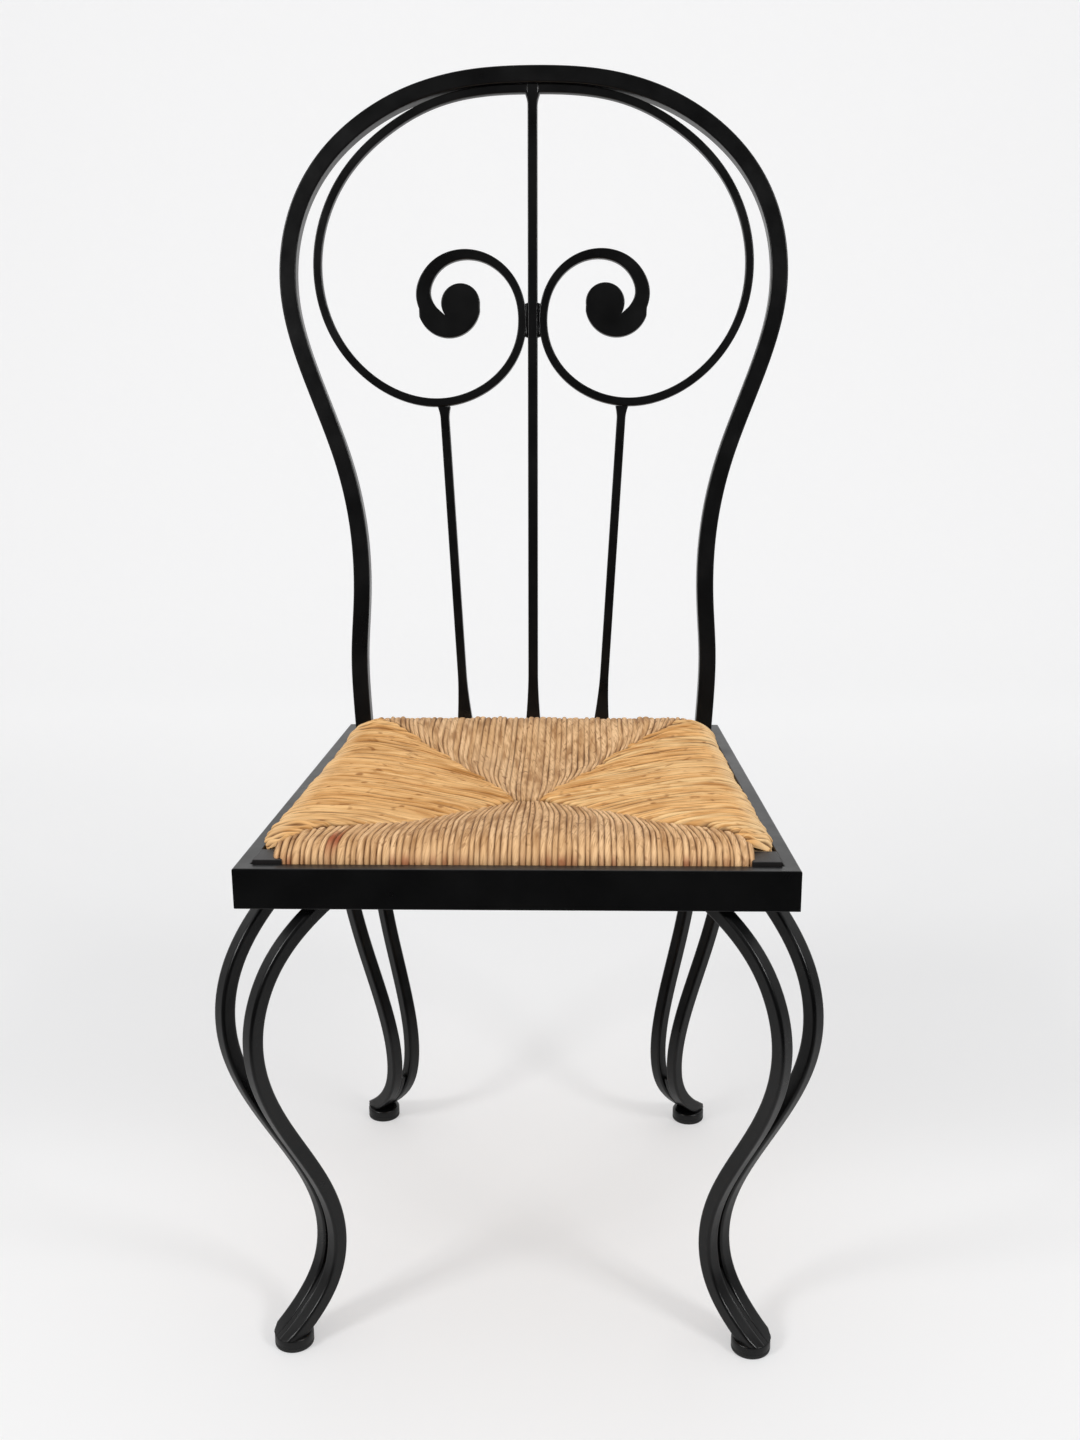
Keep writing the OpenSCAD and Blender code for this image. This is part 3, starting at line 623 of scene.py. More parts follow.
black_wood = grained_wood("black_stained_wood", 0.42, Light=(0.02, 0.018, 0.018), Dark=(0.006, 0.005, 0.005))
plain_wood = grained_wood("plain_beech", 0.6, Light=(0.62, 0.45, 0.27), Dark=(0.42, 0.27, 0.14))
for corner, sign, end in CORNERS:
    node = corner + "_corner_block"
    low, high = box_mm(node)
    inner = sign * min(abs(low[0]), abs(high[0]))
    y0, y1 = (low[1], high[1]) if end < 0 else (high[1], low[1])
    outer = [sign * side_x(y - front_y, block_low[1] - front_y) for y in (y0, y1)]
    outline = np.array([(outer[0], y0), (inner, y0), (inner, y1), (outer[1], y1)])
    middle_z = (low[2] + high[2]) / 2
    placed = lambda flat, depth: np.column_stack([flat, np.full(len(flat), middle_z + depth)])
    block = put_tubes(node + "_cut", cut_from_plate(outline, high[2] - low[2], BLOCK_EDGE, placed))
    finished(block, black_wood, "black_wood", node)
for node in ("wood_front_rail", "wood_rear_rail", "wood_left_rail", "wood_right_rail", "seat_dowels"):
    coated(node, plain_wood)
coated("seat_screws", iron)

# Rush seat
# One cord of twisted rush is wound round the wooden rails, so that it makes four wedges of strands
# that meet along two curved seams and a short bridge. Scraps of rush are packed in between.
SAG_RUN = 116
DISH = 8
CREST_IN = 34
CREST_RUN = 90
DRAW_IN = 2.5
RUSH_FACE_IN = 0.5
RUSH_T = 5
FOOT_ROUND = 4
SEAM_CLEAR = 0.15
SEAM_STEPS = 60
BRIDGE_W = 20
BRIDGE_X = 4
BRIDGE_Y = 159
SEAM_PULLS = {
    (-1, -1): [(-176, 62), (-135, 74), (-92, 79), (-52, 120), (-26, 142)],
    (-1, 1): [(176, 60), (150, 69), (112, 82), (76, 126), (42, 145)],
    (1, -1): [(-143, 390), (-128, 355), (-100, 318), (-66, 268), (-36, 216), (-20, 188)],
    (1, 1): [(151, 390), (136, 362), (104, 326), (74, 276), (46, 226), (28, 190)],
}
BLOCK_D = 25
BLOCK_CLEAR = 0.3
OVER_BLOCK = 2.5
STRAND_EDGE = 0.97
STRAND_ACROSS = np.array([-STRAND_EDGE, -0.88, -0.66, -0.34, 0.0, 0.34, 0.66, 0.88])
STRAND_SPAN = 0.985
STRAND_DEEP = 2.8
STRAND_PROUD = 0.5
SWELL = 0.6
GROOVE_FROM = 0.5
QUIET_CREASE = 0.15
FACE_TO = 3
BULGE_UP = 0.4
BULGE_RISE = 4
BULGE_RUN = 28
SKIN_IN = 9
SKIN_FOOT_IN = 14
SEAM_ROUND = 5.5
SEAM_SINK = 4.6
SWEEP_IN = 150
LEAN_EASE = (50, 26)
SWEEP_EASE = (50, 36)
SEAM_CREASE = 16
FIRST_CREASE = (10, 30)
KNUCKLE_RUN = 20
RAGGED_RUN = 40
# Where the painted highlight lies along the crest: its middle and its run, in from the outer face.
HIGHLIGHT_IN = 6
HIGHLIGHT_RUN = 16
RUSSET_RUN = 26
WARM_UP = 9
WARM_IN = 25
HELD_STRANDS = 3
REACH_TURNS = 14
block_top = block_high[2]
rush_bottom = box_mm("front_left_corner_plate")[1][2] + 1
rush_crest = frame_top + 14
rush_wrap = frame_top - 6
wall_in = block_low[1] - front_y
rear_wall = box_mm("rear_left_corner_block")[1][1] - front_y
block_x = {-1: min(abs(block_low[0]), abs(block_high[0]))}
block_x[1] = min(abs(v[0]) for v in box_mm("rear_left_corner_block"))


def eased(share):
    """A share from 0 to 1 that starts and ends level: three of its square less two of its cube."""
    share = np.clip(share, 0, 1)
    return share * share * (3 - 2 * share)


def rush_z(d, crest_up=0.0):
    """Height of the rush at a distance in from its outer face: a superellipse of power 2.6 up to the
    crest, then an even fall into the dish. crest_up raises the crest, and dies away inwards."""
    rise = (1 - np.clip(1 - d / CREST_IN, 0, 1) ** 2.6) ** (1 / 2.6)
    inwards = d - CREST_IN
    up = rush_crest - rush_wrap + crest_up * (1 - eased(inwards / CREST_RUN))
    return rush_wrap + up * rise - DISH * eased(inwards / SAG_RUN)


def seam_at(end, sign):
    """One seam: a pulled curve from the block's inner corner to the end of the bridge."""
    start = np.array([sign * block_x[end], wall_in + BLOCK_D if end < 0 else rear_wall - BLOCK_D])
    stop = np.array([BRIDGE_X + sign * BRIDGE_W / 2, BRIDGE_Y])
    return pulled_curve([start, *SEAM_PULLS[end, sign], stop], np.linspace(0, 1, SEAM_STEPS))


def smooth_noise(rng, rows, columns, row_cells, column_cells):
    """Random heights from -1 to 1 on a coarse grid, eased between its cells by a cosine, as an array."""
    coarse = rng.uniform(-1, 1, (row_cells + 2, column_cells + 2))
    r = np.linspace(0, row_cells, rows)
    c = np.linspace(0, column_cells, columns)
    ri, ci = r.astype(int), c.astype(int)
    rf, cf = [(1 - np.cos(math.pi * (v - i))) / 2 for v, i in ((r, ri), (c, ci))]
    near = coarse[ri][:, ci] * (1 - cf) + coarse[ri][:, ci + 1] * cf
    far = coarse[ri + 1][:, ci] * (1 - cf) + coarse[ri + 1][:, ci + 1] * cf
    return near * (1 - rf[:, None]) + far * rf[:, None]


def rush_group():
    """Shader group: each strand has its own shade of straw, darker in patches, with fibres along its
    twist and a brown knot here and there. The UV map counts strands across and centimetres along."""
    group, inside, outside = new_group(
        "rush_strands", dict(Light="Color", Mid="Color", Dark="Color", Knot="Color"),
        dict(Color="Color", Height="Float", Roughness="Float"))
    link = group.links.new
    uv = group.nodes.new("ShaderNodeUVMap")
    uv.uv_map = "strands"
    parts = group.nodes.new("ShaderNodeSeparateXYZ")
    link(uv.outputs["UV"], parts.inputs["Vector"])
    whole = group.nodes.new("ShaderNodeMath")
    whole.operation = "FLOOR"
    link(parts.outputs["X"], whole.inputs[0])
    own = group.nodes.new("ShaderNodeTexWhiteNoise")
    own.noise_dimensions = "1D"
    link(whole.outputs[0], own.inputs["W"])

    def stretched(across, along, twist=0.0):
        """The UV as a vector: so many cells a strand across, so many a centimetre along."""
        joined = group.nodes.new("ShaderNodeCombineXYZ")
        link(times_plus(group, parts.outputs["Y"], twist, parts.outputs["X"]), joined.inputs["X"])
        link(parts.outputs["Y"], joined.inputs["Y"])
        scaled = group.nodes.new("ShaderNodeMapping")
        scaled.inputs["Scale"].default_value = (across, along, 1)
        link(joined.outputs[0], scaled.inputs["Vector"])
        return scaled.outputs[0]

    fibres = noise_of(group, stretched(6, 0.7, 0.3), 1, 4)
    patches = noise_of(group, stretched(0.9, 0.3), 1, 2)
    broad = noise_of(group, stretched(0.12, 0.1), 1, 1)
    knots = noise_of(group, stretched(0.8, 1.3), 1, 1)
    shade = blended(group, own.outputs["Value"], inside.outputs["Mid"], inside.outputs["Light"])
    tones = (
        (patches, 0.85, 0.45, 0.68, "Dark"), (fibres, 0.85, 0.5, 0.68, "Dark"),
        (broad, 0.45, 0.5, 0.75, "Light"), (knots, 0.8, 0.64, 0.73, "Knot"),
    )
    for share, most, start, full, tone in tones:
        shade = blended(group, between(group, share, 0, most, start, full), shade, inside.outputs[tone])
    link(shade, outside.inputs["Color"])
    link(fibres, outside.inputs["Height"])
    link(between(group, fibres, 0.48, 0.75), outside.inputs["Roughness"])
    return group


rush_strands = rush_group()


def attribute_of(tree, name):
    """A number kept on the mesh's points."""
    node = tree.nodes.new("ShaderNodeAttribute")
    node.attribute_name = name
    return node.outputs["Fac"]


def rush_material(name, painted_highlight, **colours):
    """Dry rush with a slight waxy sheen, reddish on a few strands: a painted highlight makes it pale along
    the crest, and painted shade makes it nearly black down between the strands."""
    material, tree, straw = new_material(name)
    strands = group_in(tree, rush_strands, colours)
    # Painted highlight: paler along the outer crest of the wedge.
    shade = blended(tree, attribute_of(tree, "painted_highlight"), strands.outputs["Color"], painted_highlight)
    shade = blended(tree, attribute_of(tree, "russet"), shade, (0.40, 0.11, 0.042))
    # Painted shade: nearly black down between the strands and where they run into the seams.
    shade = blended(tree, attribute_of(tree, "groove_shade"), shade, (0.10, 0.034, 0.007))
    twisted = bumped(tree, strands.outputs["Height"], distance=0.0007)
    feed(tree, straw, shade, strands.outputs["Roughness"], twisted)
    straw.inputs["Specular IOR Level"].default_value = 0.25
    return material


rush_along = rush_material(
    "rush_front_and_back", painted_highlight=(0.92, 0.60, 0.32), Light=(0.98, 0.64, 0.345), Mid=(0.76, 0.45, 0.21),
    Dark=(0.40, 0.185, 0.06), Knot=(0.34, 0.15, 0.05))
# The side wedges' colours are partly the rush's own and partly painted light: lighter and more saturated than
# the front and rear's for how the light falls across their strands. The right side's colours are painted
# lighter and yellower again, for the light that falls more on the right wedge.
rush_left = rush_material(
    "rush_left_side", painted_highlight=(0.98, 0.67, 0.35), Light=(0.98, 0.61, 0.27), Mid=(0.85, 0.47, 0.175),
    Dark=(0.50, 0.215, 0.045), Knot=(0.34, 0.13, 0.025))
rush_right = rush_material(
    "rush_right_side_painted_lighter", painted_highlight=(0.99, 0.73, 0.41), Light=(0.99, 0.665, 0.315), Mid=(0.935, 0.53, 0.205),
    Dark=(0.58, 0.255, 0.06), Knot=(0.36, 0.14, 0.03))
# Rows over a wedge's top, as shares of the way in: close at the seam and over the crest.
top_share = np.concatenate([
    np.linspace(1, 0.9, 9)[:-1], np.linspace(0.9, 0.25, 22)[:-1], 0.25 * np.linspace(1, 0, 20) ** 1.5,
])


def about(value, middle, run):
    """A share that is 1 at a middle value and eases to 0 at this run from it."""
    return 1 - eased(abs(value - middle) / run)


def swept(d):
    """Share of a strand's sweep at a distance in: the distance over a fixed one, to the power 1.6."""
    return (np.clip(d, 0, None) / SWEEP_IN) ** 1.6


def wedge_section(at, off_centre, bowed, far, form):
    """The section of a wedge at each place along its rail, as distances in and heights: over the top
    from the seam to the face, down the face, round its foot and in under the rail."""
    top_in = (far - bowed) * top_share[:, None]
    top_z = rush_z(top_in, form["crest_up"](off_centre))
    over_iron = eased((top_z - frame_top - BULGE_UP) / BULGE_RISE)
    bulge = form["bulge"](at) * over_iron * (1 - eased(top_in / BULGE_RUN))
    turn = np.radians(np.linspace(0, 90, 6))[:, None]
    face_z = np.linspace(rush_wrap - 3, rush_bottom + FOOT_ROUND + 1, 4)[:, None]
    under = np.linspace(0, 1, 12)[1:, None]
    level = np.ones(len(far))
    d = np.vstack([
        bowed + top_in - bulge,
        bowed * np.ones((len(face_z), 1)),
        bowed + FOOT_ROUND - FOOT_ROUND * np.cos(turn),
        bowed + FOOT_ROUND + (far - bowed - FOOT_ROUND) * under,
    ])
    z = np.vstack([
        top_z,
        face_z * level,
        (rush_bottom + FOOT_ROUND - FOOT_ROUND * np.sin(turn)) * level,
        rush_bottom * level * np.ones((len(under), 1)),
    ])
    return d, z


def rush_wedge(node, material, edges, reach_at, bow_at, centre_line, place, seed, form):
    """One wedge of rush, from the places between its strands along the rail. reach_at and bow_at give how
    far in the strands go at a place, and how far the face is drawn in there. place puts a place, a
    distance in and a height into space. Each strand is half round: its height is the square root of one
    less the square of the share across."""
    rng = np.random.default_rng(seed)
    strands = len(edges) - 1
    share = (STRAND_ACROSS + STRAND_EDGE) / (2 * STRAND_EDGE)
    column = np.append((np.arange(strands)[:, None] + share * STRAND_SPAN).ravel(), strands)
    across = np.append(np.tile(STRAND_ACROSS, strands), -STRAND_EDGE)
    strand_of = np.minimum(column.astype(int), strands - 1)
    edge_of_strand = np.rint(column).astype(int)
    at = np.interp(column, np.arange(strands + 1), edges)
    off_centre = at - centre_line
    from_low, from_high = at - edges[0], edges[-1] - at

    def off_ends(runs):
        """A share that eases in from the rail's two ends, over a run for each."""
        return eased(from_low / runs[0]) * eased(from_high / runs[1])

    # Where each strand meets the seam, after it has leant and swept along the rail on its way in.
    lean = form["lean_at"](off_centre) * off_ends(LEAN_EASE)
    sweep = form["sweep_at"](off_centre) * off_ends(SWEEP_EASE)
    uneven = rng.uniform(*form["uneven"], strands)[strand_of]
    bowed = bow_at(at)
    far = reach_at(at)
    for _ in range(REACH_TURNS):
        far = reach_at(at + lean + sweep * swept(far)) + uneven

    # The section, with its direction outwards and its length from the seam.
    d, z = wedge_section(at, off_centre, bowed, far, form)
    to_seam = far - d
    rows = len(d)
    on_top = (np.arange(rows) < len(top_share))[:, None]
    step_d = np.gradient(d, axis=0)
    step_z = np.gradient(z, axis=0)
    size = np.hypot(step_d, step_z)
    out_d, out_z = step_z / size, -step_d / size
    run = np.hypot(np.diff(d, axis=0), np.diff(z, axis=0))
    length = np.concatenate([np.zeros((1, len(far))), np.cumsum(run, axis=0)])

    # How deep the creases between strands are: most at the seam and the first strands, least where quiet.
    crease = form["crease"] + (1 - form["crease"]) * smooth_noise(rng, rows, strands + 1, 9, strands + 1)
    crease = np.clip(crease, 0.05, 1)[:, edge_of_strand]
    crease = np.maximum(crease, eased(1 - to_seam / SEAM_CREASE) * on_top)
    crease = np.maximum(crease, eased(1 - (from_low - FIRST_CREASE[0]) / FIRST_CREASE[1]))
    crease = np.where(on_top & (d > FACE_TO), crease, np.maximum(crease, form["face_crease"]))
    loud = off_ends(form["quiet"])
    crease = crease * (QUIET_CREASE + (1 - QUIET_CREASE) * loud)

    # How far the surface stands proud: strands, single high ones, broad swells, and round edges.
    ridge = np.sqrt(1 - across ** 2)
    lift = smooth_noise(rng, rows, strands, 7, strands)[:, strand_of] * form["lift"]
    swell = smooth_noise(rng, rows, len(far), 5, max(4, strands // 7)) * SWELL
    deep = STRAND_DEEP + form["knuckle"] * eased(1 - to_seam / KNUCKLE_RUN) * on_top
    proud = (ridge - 1) * deep * crease + STRAND_PROUD + lift * ridge + swell
    ragged = form["ragged"] * rng.uniform(-1, 1, strands)[strand_of]
    proud += ragged * about(d, CREST_IN, RAGGED_RUN) * on_top
    into_seam = np.clip(1 - to_seam / SEAM_ROUND, 0, 1) * on_top * loud
    proud -= SEAM_SINK * (1 - np.sqrt(1 - into_seam ** 2))
    for away, (run, drop) in zip((from_low, from_high), form["shoulders"]):
        proud -= drop * (1 - np.sqrt(1 - 0.98 * np.clip(1 - away / run, 0, 1) ** 2)) * on_top

    # How far each point lies along the rail from where its strand started.
    held = np.clip(np.minimum(column, strands - column) / HELD_STRANDS, 0, 1)
    wander = smooth_noise(rng, rows, strands + 1, 5, strands + 1) * form["wander"]
    wander = np.stack([np.interp(column, np.arange(strands + 1), w) for w in wander]) * held
    near_seam = np.clip(1 - to_seam / form["lean_run"], 0, 1) ** 1.5 * eased(d / 14)
    shift = wander + (lean * near_seam + sweep * swept(d)) * on_top
    outer = place(at + shift, d + proud * out_d, z + proud * out_z)

    # The inner side is a plain skin round the wooden rail.
    level = np.ones(len(far))
    span = far - bowed
    skin = RUSH_T + 0.5
    inner_d = np.vstack([far, far * 0.5 + 10, SKIN_IN * level, SKIN_IN * level, SKIN_FOOT_IN * level, far])
    inner_z = np.vstack([
        rush_z(span) - skin,
        np.maximum(rush_z(span * 0.5) - skin, block_top + 0.5),
        (block_top + 0.4) * level,
        (rush_bottom + RUSH_T + 1) * level,
        (rush_bottom + RUSH_T) * level,
        (rush_bottom + RUSH_T) * level,
    ])
    inner = place(np.broadcast_to(at, inner_d.shape), inner_d, inner_z)
    rings = np.concatenate([outer, inner[::-1]]).transpose(1, 0, 2)
    wedge = put_tubes(node + "_wound", rings, sharp_over=180)

    # The strands' own map, and what is painted on them: painted shade in the grooves and into the seams, a
    # painted highlight along the crest, and red strands.
    count, around = rings.shape[:2]
    mesh = wedge.data
    loops = np.empty(len(mesh.loops), dtype=np.int32)
    mesh.loops.foreach_get("vertex_index", loops)
    v = np.zeros((count, around))
    v[:, :rows] = length.T * form["grain"] / 10
    u = np.broadcast_to((column + seed * 100)[:, None], (count, around))
    uv = mesh.uv_layers.new(name="strands")
    uv.data.foreach_set("uv", np.stack([u.ravel()[loops], v.ravel()[loops]], axis=1).ravel())
    # Painted shade between the strands: darkest at their edges and where the creases are deep, and again into
    # the seams.
    off_ridge = np.clip((abs(across) - GROOVE_FROM) / (STRAND_EDGE - GROOVE_FROM), 0, 1)
    painted_shade_between_strands = off_ridge ** 1.3 * crease ** 1.2 * form["dark"]
    red_strand, red_in = form["russet"]
    red = (abs(strand_of - red_strand) < 1) * about(d, red_in, RUSSET_RUN) * on_top
    warm = rng.uniform(0, 1, strands)[strand_of] ** 2 * form["warm"]
    warm = warm * eased(1 - (z - frame_top) / WARM_UP) * (d < WARM_IN)
    painted = (
        ("groove_shade", painted_shade_between_strands + 0.9 * into_seam ** 2.5),
        ("painted_highlight", 0.7 * about(d, HIGHLIGHT_IN, HIGHLIGHT_RUN) * on_top * form["painted_highlight"]),
        ("russet", np.maximum(red, warm)),
    )
    for label, values in painted:
        whole = np.zeros((count, around))
        whole[:, :rows] = values.T
        mesh.attributes.new(label, "FLOAT", "POINT").data.foreach_set("value", np.clip(whole, 0, 1).ravel())
    finished(wedge, material, "rush", node)


def strand_edges(seed, low, high, pitch, uneven):
    """Places between the strands along a rail: evenly spaced, each moved by up to this share of a strand."""
    rng = np.random.default_rng(seed)
    edges = np.linspace(low, high, round((high - low) / pitch) + 1)
    edges[1:-1] += rng.uniform(-uneven, uneven, len(edges) - 2) * pitch
    return edges


def end_wedge(node, end, seed, **form):
    """The wedge on the front or the rear rail: its strands run from front to back."""
    wide = block_x[end] + OVER_BLOCK
    seam = np.vstack([seam_at(end, -1), seam_at(end, 1)[::-1]])
    wall = wall_in if end < 0 else rear_wall

    def reach_at(x):
        """How far in the seam lies from the wall, less its clearance."""
        return np.abs(np.interp(x, seam[:, 0], seam[:, 1]) - wall) - SEAM_CLEAR

    def bow_at(x):
        """How far the cord draws the face in: most in the middle, less by the square of the share out."""
        return RUSH_FACE_IN + DRAW_IN * (1 - (x / wide) ** 2)

    def place(along, d, z):
        """X along the rail, Y inwards from the wall."""
        return np.stack(np.broadcast_arrays(along, front_y + wall - end * d, z), axis=-1)

    edges = strand_edges(seed, -wide - form["over"], wide, form["pitch"], 0.22)
    rush_wedge(node, rush_along, edges, reach_at, bow_at, BRIDGE_X, place, seed, form)


def side_wedge(node, material, sign, seed, **form):
    """The wedge on a side rail: its strands run from side to side."""
    low = wall_in + BLOCK_D + BLOCK_CLEAR
    high = rear_wall - BLOCK_D - BLOCK_CLEAR
    seam = np.vstack([seam_at(-1, sign), seam_at(1, sign)[::-1]])

    def reach_at(y):
        """How far in the seam lies from the slanted wall, less its clearance."""
        return side_x(y, wall_in) - sign * np.interp(y, seam[:, 1], seam[:, 0]) - SEAM_CLEAR

    def bow_at(y):
        """How far the cord draws the face in: four times the share along times the share left."""
        share = (y - low) / (high - low)
        return RUSH_FACE_IN + DRAW_IN * 4 * share * (1 - share)

    def place(along, d, z):
        """X inwards from the slanted wall, Y along the rail."""
        return np.stack(np.broadcast_arrays(sign * (side_x(along, wall_in) - d), front_y + along, z), axis=-1)

    edges = strand_edges(seed, low, high, form["pitch"], 0.38)
    rush_wedge(node, material, edges, reach_at, bow_at, BRIDGE_Y, place, seed, form)


def over_rail(most):
    """How far the rush bulges out over a side rail: it grows to most over 50 mm near the front, and eases
    to two fifths of it over the last 280 mm."""
    return lambda y: most * (1 - 0.6 * eased((y - 120) / 280)) * eased((y - 20) / 50)


def inwards(most):
    """How far strands lean towards the middle of their rail at the seam, eased across the middle."""
    return lambda off: -np.sign(off) * np.clip(abs(off) / 30, 0, 1) * most


def steady(amount):
    """The same amount all along a rail."""
    return lambda off: amount + 0 * off


# A wedge's form, in millimetres and shares: over is how much further out it starts, shoulders are the run
# and drop of its two rounded ends, quiet the runs over which creases fade in from them, and russet one
# reddish strand and its distance in (-9 for none).
# Two keys set painted light: one the strength of a painted highlight along the crest, and dark that of the
# painted shade between the strands.
front_form = dict(
    pitch=5.2, over=5.5, uneven=(-1.2, 2.2), lean_at=inwards(9), lean_run=46, sweep_at=steady(0),
    crest_up=steady(0), bulge=steady(0), crease=0.74, face_crease=0.85, lift=0.6, ragged=0.4, wander=0.6,
    shoulders=((18, 5), (14, 4)), quiet=(0.01, 0.01), knuckle=0.8, grain=0.8, dark=1, painted_highlight=0.4,
    russet=(8.5, 22), warm=0.8)
rear_form = dict(
    front_form, pitch=5.6, over=0, lean_at=inwards(7), crest_up=steady(4.5), ragged=1.0, lift=0.9,
    crease=0.6, shoulders=((24, 7), (18, 6)), quiet=(24, 14), russet=(-9, 0), painted_highlight=0, warm=0)
side_form = dict(
    pitch=5.9, uneven=(-2.5, 4.5), lean_at=steady(-13), lean_run=40,
    sweep_at=lambda off: -12 - 28 * eased((off + 100) / 250),
    crest_up=lambda off: 0.5 + 3 * eased((off - 170) / 50),
    crease=0.55, face_crease=0.5, lift=1.5, ragged=0.5, wander=1.4, shoulders=((26, 8), (9, 2.5)),
    quiet=(0.01, 10), knuckle=2.4, grain=0.6, dark=0.95, painted_highlight=0.75, russet=(-9, 0), warm=0)
end_wedge("rush_front", -1, 1, **front_form)
end_wedge("rush_rear", 1, 2, **rear_form)
side_wedge("rush_left", rush_left, -1, 3, bulge=over_rail(5.5), **side_form)
side_wedge("rush_right", rush_right, 1, 4, bulge=over_rail(4), **side_form)


def loose_rush():
    """Scraps of rush packed flat: short fibres lying every way."""
    material, tree, scraps = new_material("loose_rush")
    fibres = noise_of(tree, object_point(tree), scale=160, detail=5)
    tree.links.new(blended(tree, fibres, (0.2, 0.11, 0.05), (0.5, 0.33, 0.16)), scraps.inputs["Base Color"])
    tree.links.new(bumped(tree, fibres, distance=0.002), scraps.inputs["Normal"])
    scraps.inputs["Roughness"].default_value = 0.8
    return material


coated("seat_stuffing", loose_rush())

# Floor and light
# A pale studio sweep. Two soft boxes in front and a wide one overhead give plain, even light. The
# room in front of the chair is dark, which upright iron faces mirror.
FLOOR_FROM = -4
FLOOR_TO = 2.2
SWEEP_R = 1.4
WALL_TOP = 5
HALF_WIDE = 5
turn = np.radians(np.arange(6, 91, 6))
wall_y = FLOOR_TO + SWEEP_R
sweep_y = np.concatenate([np.linspace(FLOOR_FROM, FLOOR_TO, 8), FLOOR_TO + SWEEP_R * np.sin(turn), [wall_y]])
sweep_z = np.concatenate([np.zeros(8), SWEEP_R * (1 - np.cos(turn)), [WALL_TOP]])
sweep_x = [np.full(len(sweep_y), x) for x in (-HALF_WIDE, HALF_WIDE)]
grid = np.stack([np.stack([x, sweep_y, sweep_z], axis=1) for x in sweep_x], axis=1)
floor_mesh = bpy.data.meshes.new("studio_sweep")
quads = [[2 * i, 2 * i + 1, 2 * i + 3, 2 * i + 2] for i in range(len(sweep_y) - 1)]
floor_mesh.from_pydata(grid.reshape(-1, 3).tolist(), [], quads)
floor_mesh.shade_smooth()
floor = bpy.data.objects.new("studio_sweep", floor_mesh)
bpy.context.scene.collection.objects.link(floor)


def grey(level):
    """A neutral colour."""
    return (level, level, level)


def by_ray(tree, scattered, seen, mirrored):
    """A colour for the light that surfaces scatter, one for the camera, and one for mirrored rays."""
    path = tree.nodes.new("ShaderNodeLightPath")
    shade = blended(tree, path.outputs["Is Camera Ray"], scattered, seen)
    return blended(tree, path.outputs["Is Glossy Ray"], shade, mirrored)


def y_of(tree, vector):
    """The Y of a vector."""
    parts = tree.nodes.new("ShaderNodeSeparateXYZ")
    tree.links.new(vector, parts.inputs["Vector"])
    return parts.outputs["Y"]


def pale_sweep():
    """Matt pale paper. The camera sees it a little paler far behind the chair. Mirrored rays find it
    darker near the chair, and nearly black in front of it."""
    material, tree, paper = new_material("pale_sweep")
    y = y_of(tree, object_point(tree))
    behind_front = between(tree, y, 0, 1, -0.75, -0.4)
    far_off = between(tree, y, 0, 1, 0.7, 1.9)
    on_wall = between(tree, y, 0, 1, 1.4, 2.6)
    seen_glow = blended(tree, far_off, (0.34, 0.34, 0.345), (0.455, 0.455, 0.46))
    mirrored_base = blended(tree, behind_front, grey(0.02), blended(tree, on_wall, grey(0.22), grey(0.42)))
    mirrored_glow = blended(tree, behind_front, grey(0), blended(tree, on_wall, grey(0.26), grey(0.57)))
    base = by_ray(tree, grey(0.83), grey(0.6), mirrored_base)
    glow = by_ray(tree, grey(0), seen_glow, mirrored_glow)
    tree.links.new(base, paper.inputs["Base Color"])
    tree.links.new(glow, paper.inputs["Emission Color"])
    paper.inputs["Emission Strength"].default_value = 1
    paper.inputs["Roughness"].default_value = 0.9
    paper.inputs["Specular IOR Level"].default_value = 0.1
    return material


floor_mesh.materials.append(pale_sweep())


def stood(name, data, place, axes):
    """A lamp or a camera at a place, turned so that its own X, Y and Z run along three axes."""
    thing = bpy.data.objects.new(name, data)
    bpy.context.scene.collection.objects.link(thing)
    thing.matrix_world = Matrix.Translation(place) @ Matrix(np.column_stack(axes).tolist()).to_4x4()
    return thing


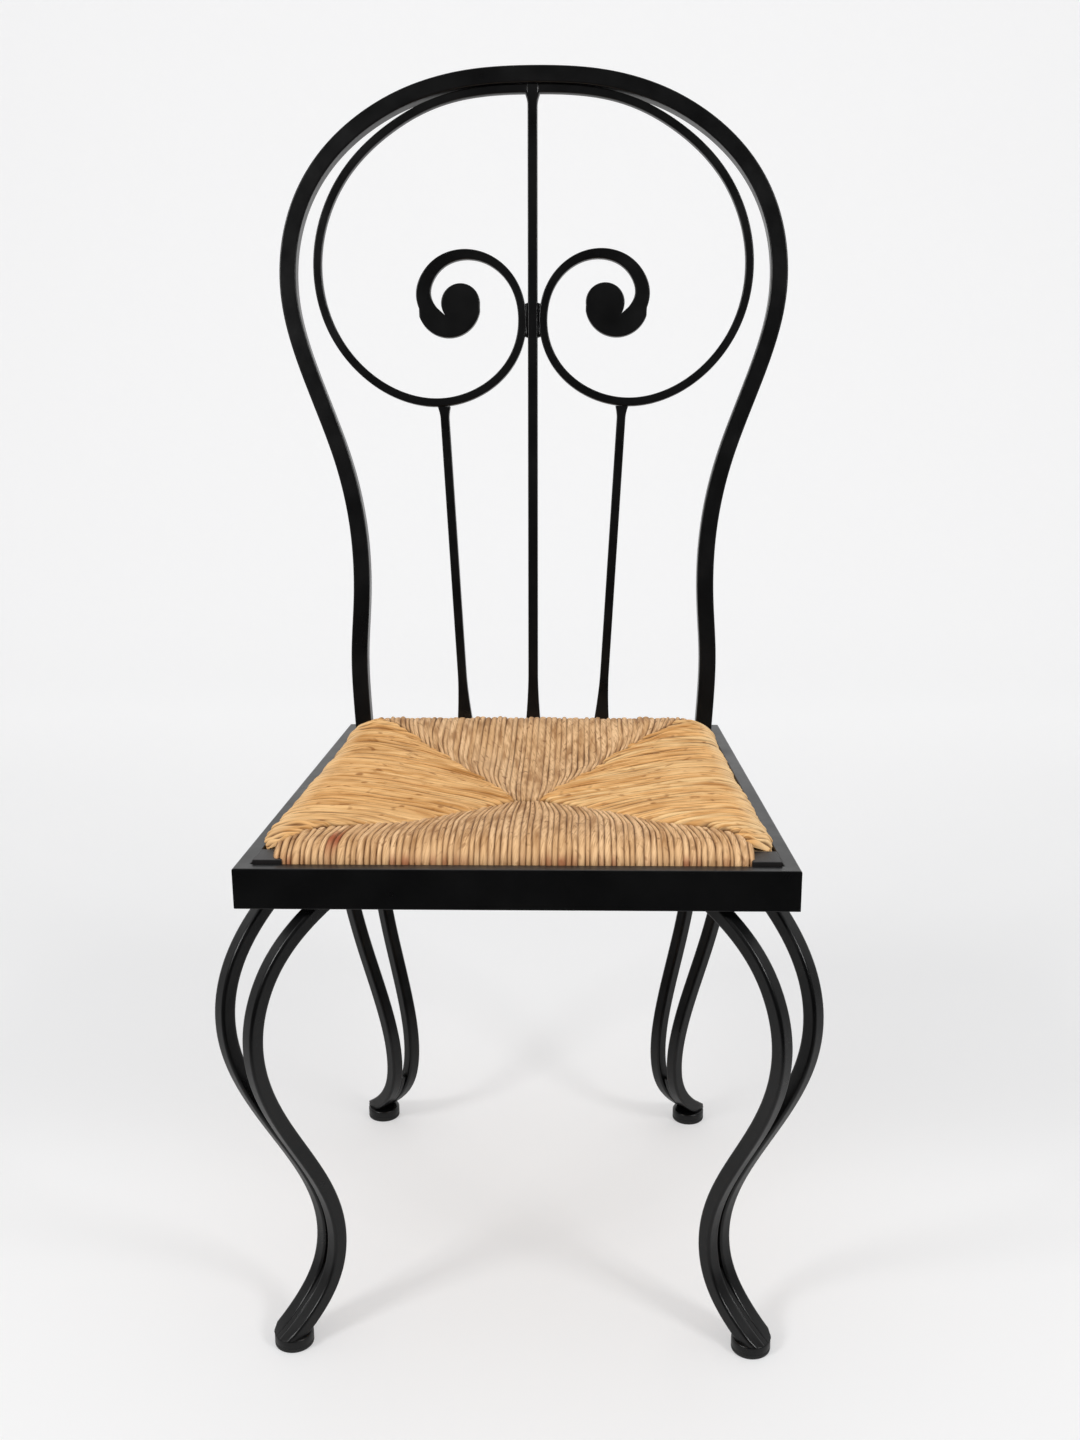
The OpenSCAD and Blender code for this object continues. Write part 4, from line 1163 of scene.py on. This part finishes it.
def soft_box(name, place, aim, wide, power):
    """A square area light at a place, turned to an aim point."""
    lamp = bpy.data.lights.new(name, "AREA")
    lamp.size = wide
    lamp.energy = power
    back = unit_rows(np.array(place, float) - aim)
    side = unit_rows(np.cross([0, 0, 1], back))
    stood(name, lamp, place, [side, np.cross(back, side), back])


soft_box("left_box", (-2.3, -2.0, 2.4), (0, 0, 0.3), 0.8, 42)
soft_box("right_box", (2.3, -2.0, 2.4), (0, 0, 0.3), 0.8, 37)
soft_box("top_box", (0.1, 0.3, 3.6), (0, 0, 0.4), 2.6, 11)
world = bpy.data.worlds.new("studio")
bpy.context.scene.world = world
world.use_nodes = True
air = world.node_tree
facing = air.nodes.new("ShaderNodeTexCoord").outputs["Generated"]
rearwards = between(air, y_of(air, facing), 0, 1, -0.2, 0.6)
sky = by_ray(air, grey(0.55), grey(0.87), blended(air, rearwards, grey(0.01), grey(1)))
air.links.new(sky, air.nodes["Background"].inputs["Color"])

# Camera
# The photograph's own view: where it was taken from, fitted to the seat's corners and the feet.
CAMERA_PLACE = (53.8, -1113.0, 871.8)
PITCH = 0.26298
YAW = -0.0303
ROLL = 0.00608
FOCAL_PIXELS = 1513.1
IMAGE_HIGH = 1440
SENSOR_HIGH = 36
right = np.array([math.cos(YAW), -math.sin(YAW), 0])
level = np.array([math.sin(YAW), math.cos(YAW), 0])
ahead = level * math.cos(PITCH) - np.array([0, 0, math.sin(PITCH)])
down = -(level * math.sin(PITCH) + np.array([0, 0, math.cos(PITCH)]))
image_right = right * math.cos(ROLL) + down * math.sin(ROLL)
image_down = down * math.cos(ROLL) - right * math.sin(ROLL)
lens = bpy.data.cameras.new("photo_view")
lens.sensor_fit = "VERTICAL"
lens.sensor_height = SENSOR_HIGH
lens.lens = FOCAL_PIXELS / IMAGE_HIGH * SENSOR_HIGH
camera_place = (np.array(CAMERA_PLACE) + [0, front_y, 0]) * MM
bpy.context.scene.camera = stood("photo_view", lens, camera_place, [image_right, -image_down, -ahead])
bpy.context.scene.view_settings.view_transform = "Standard"
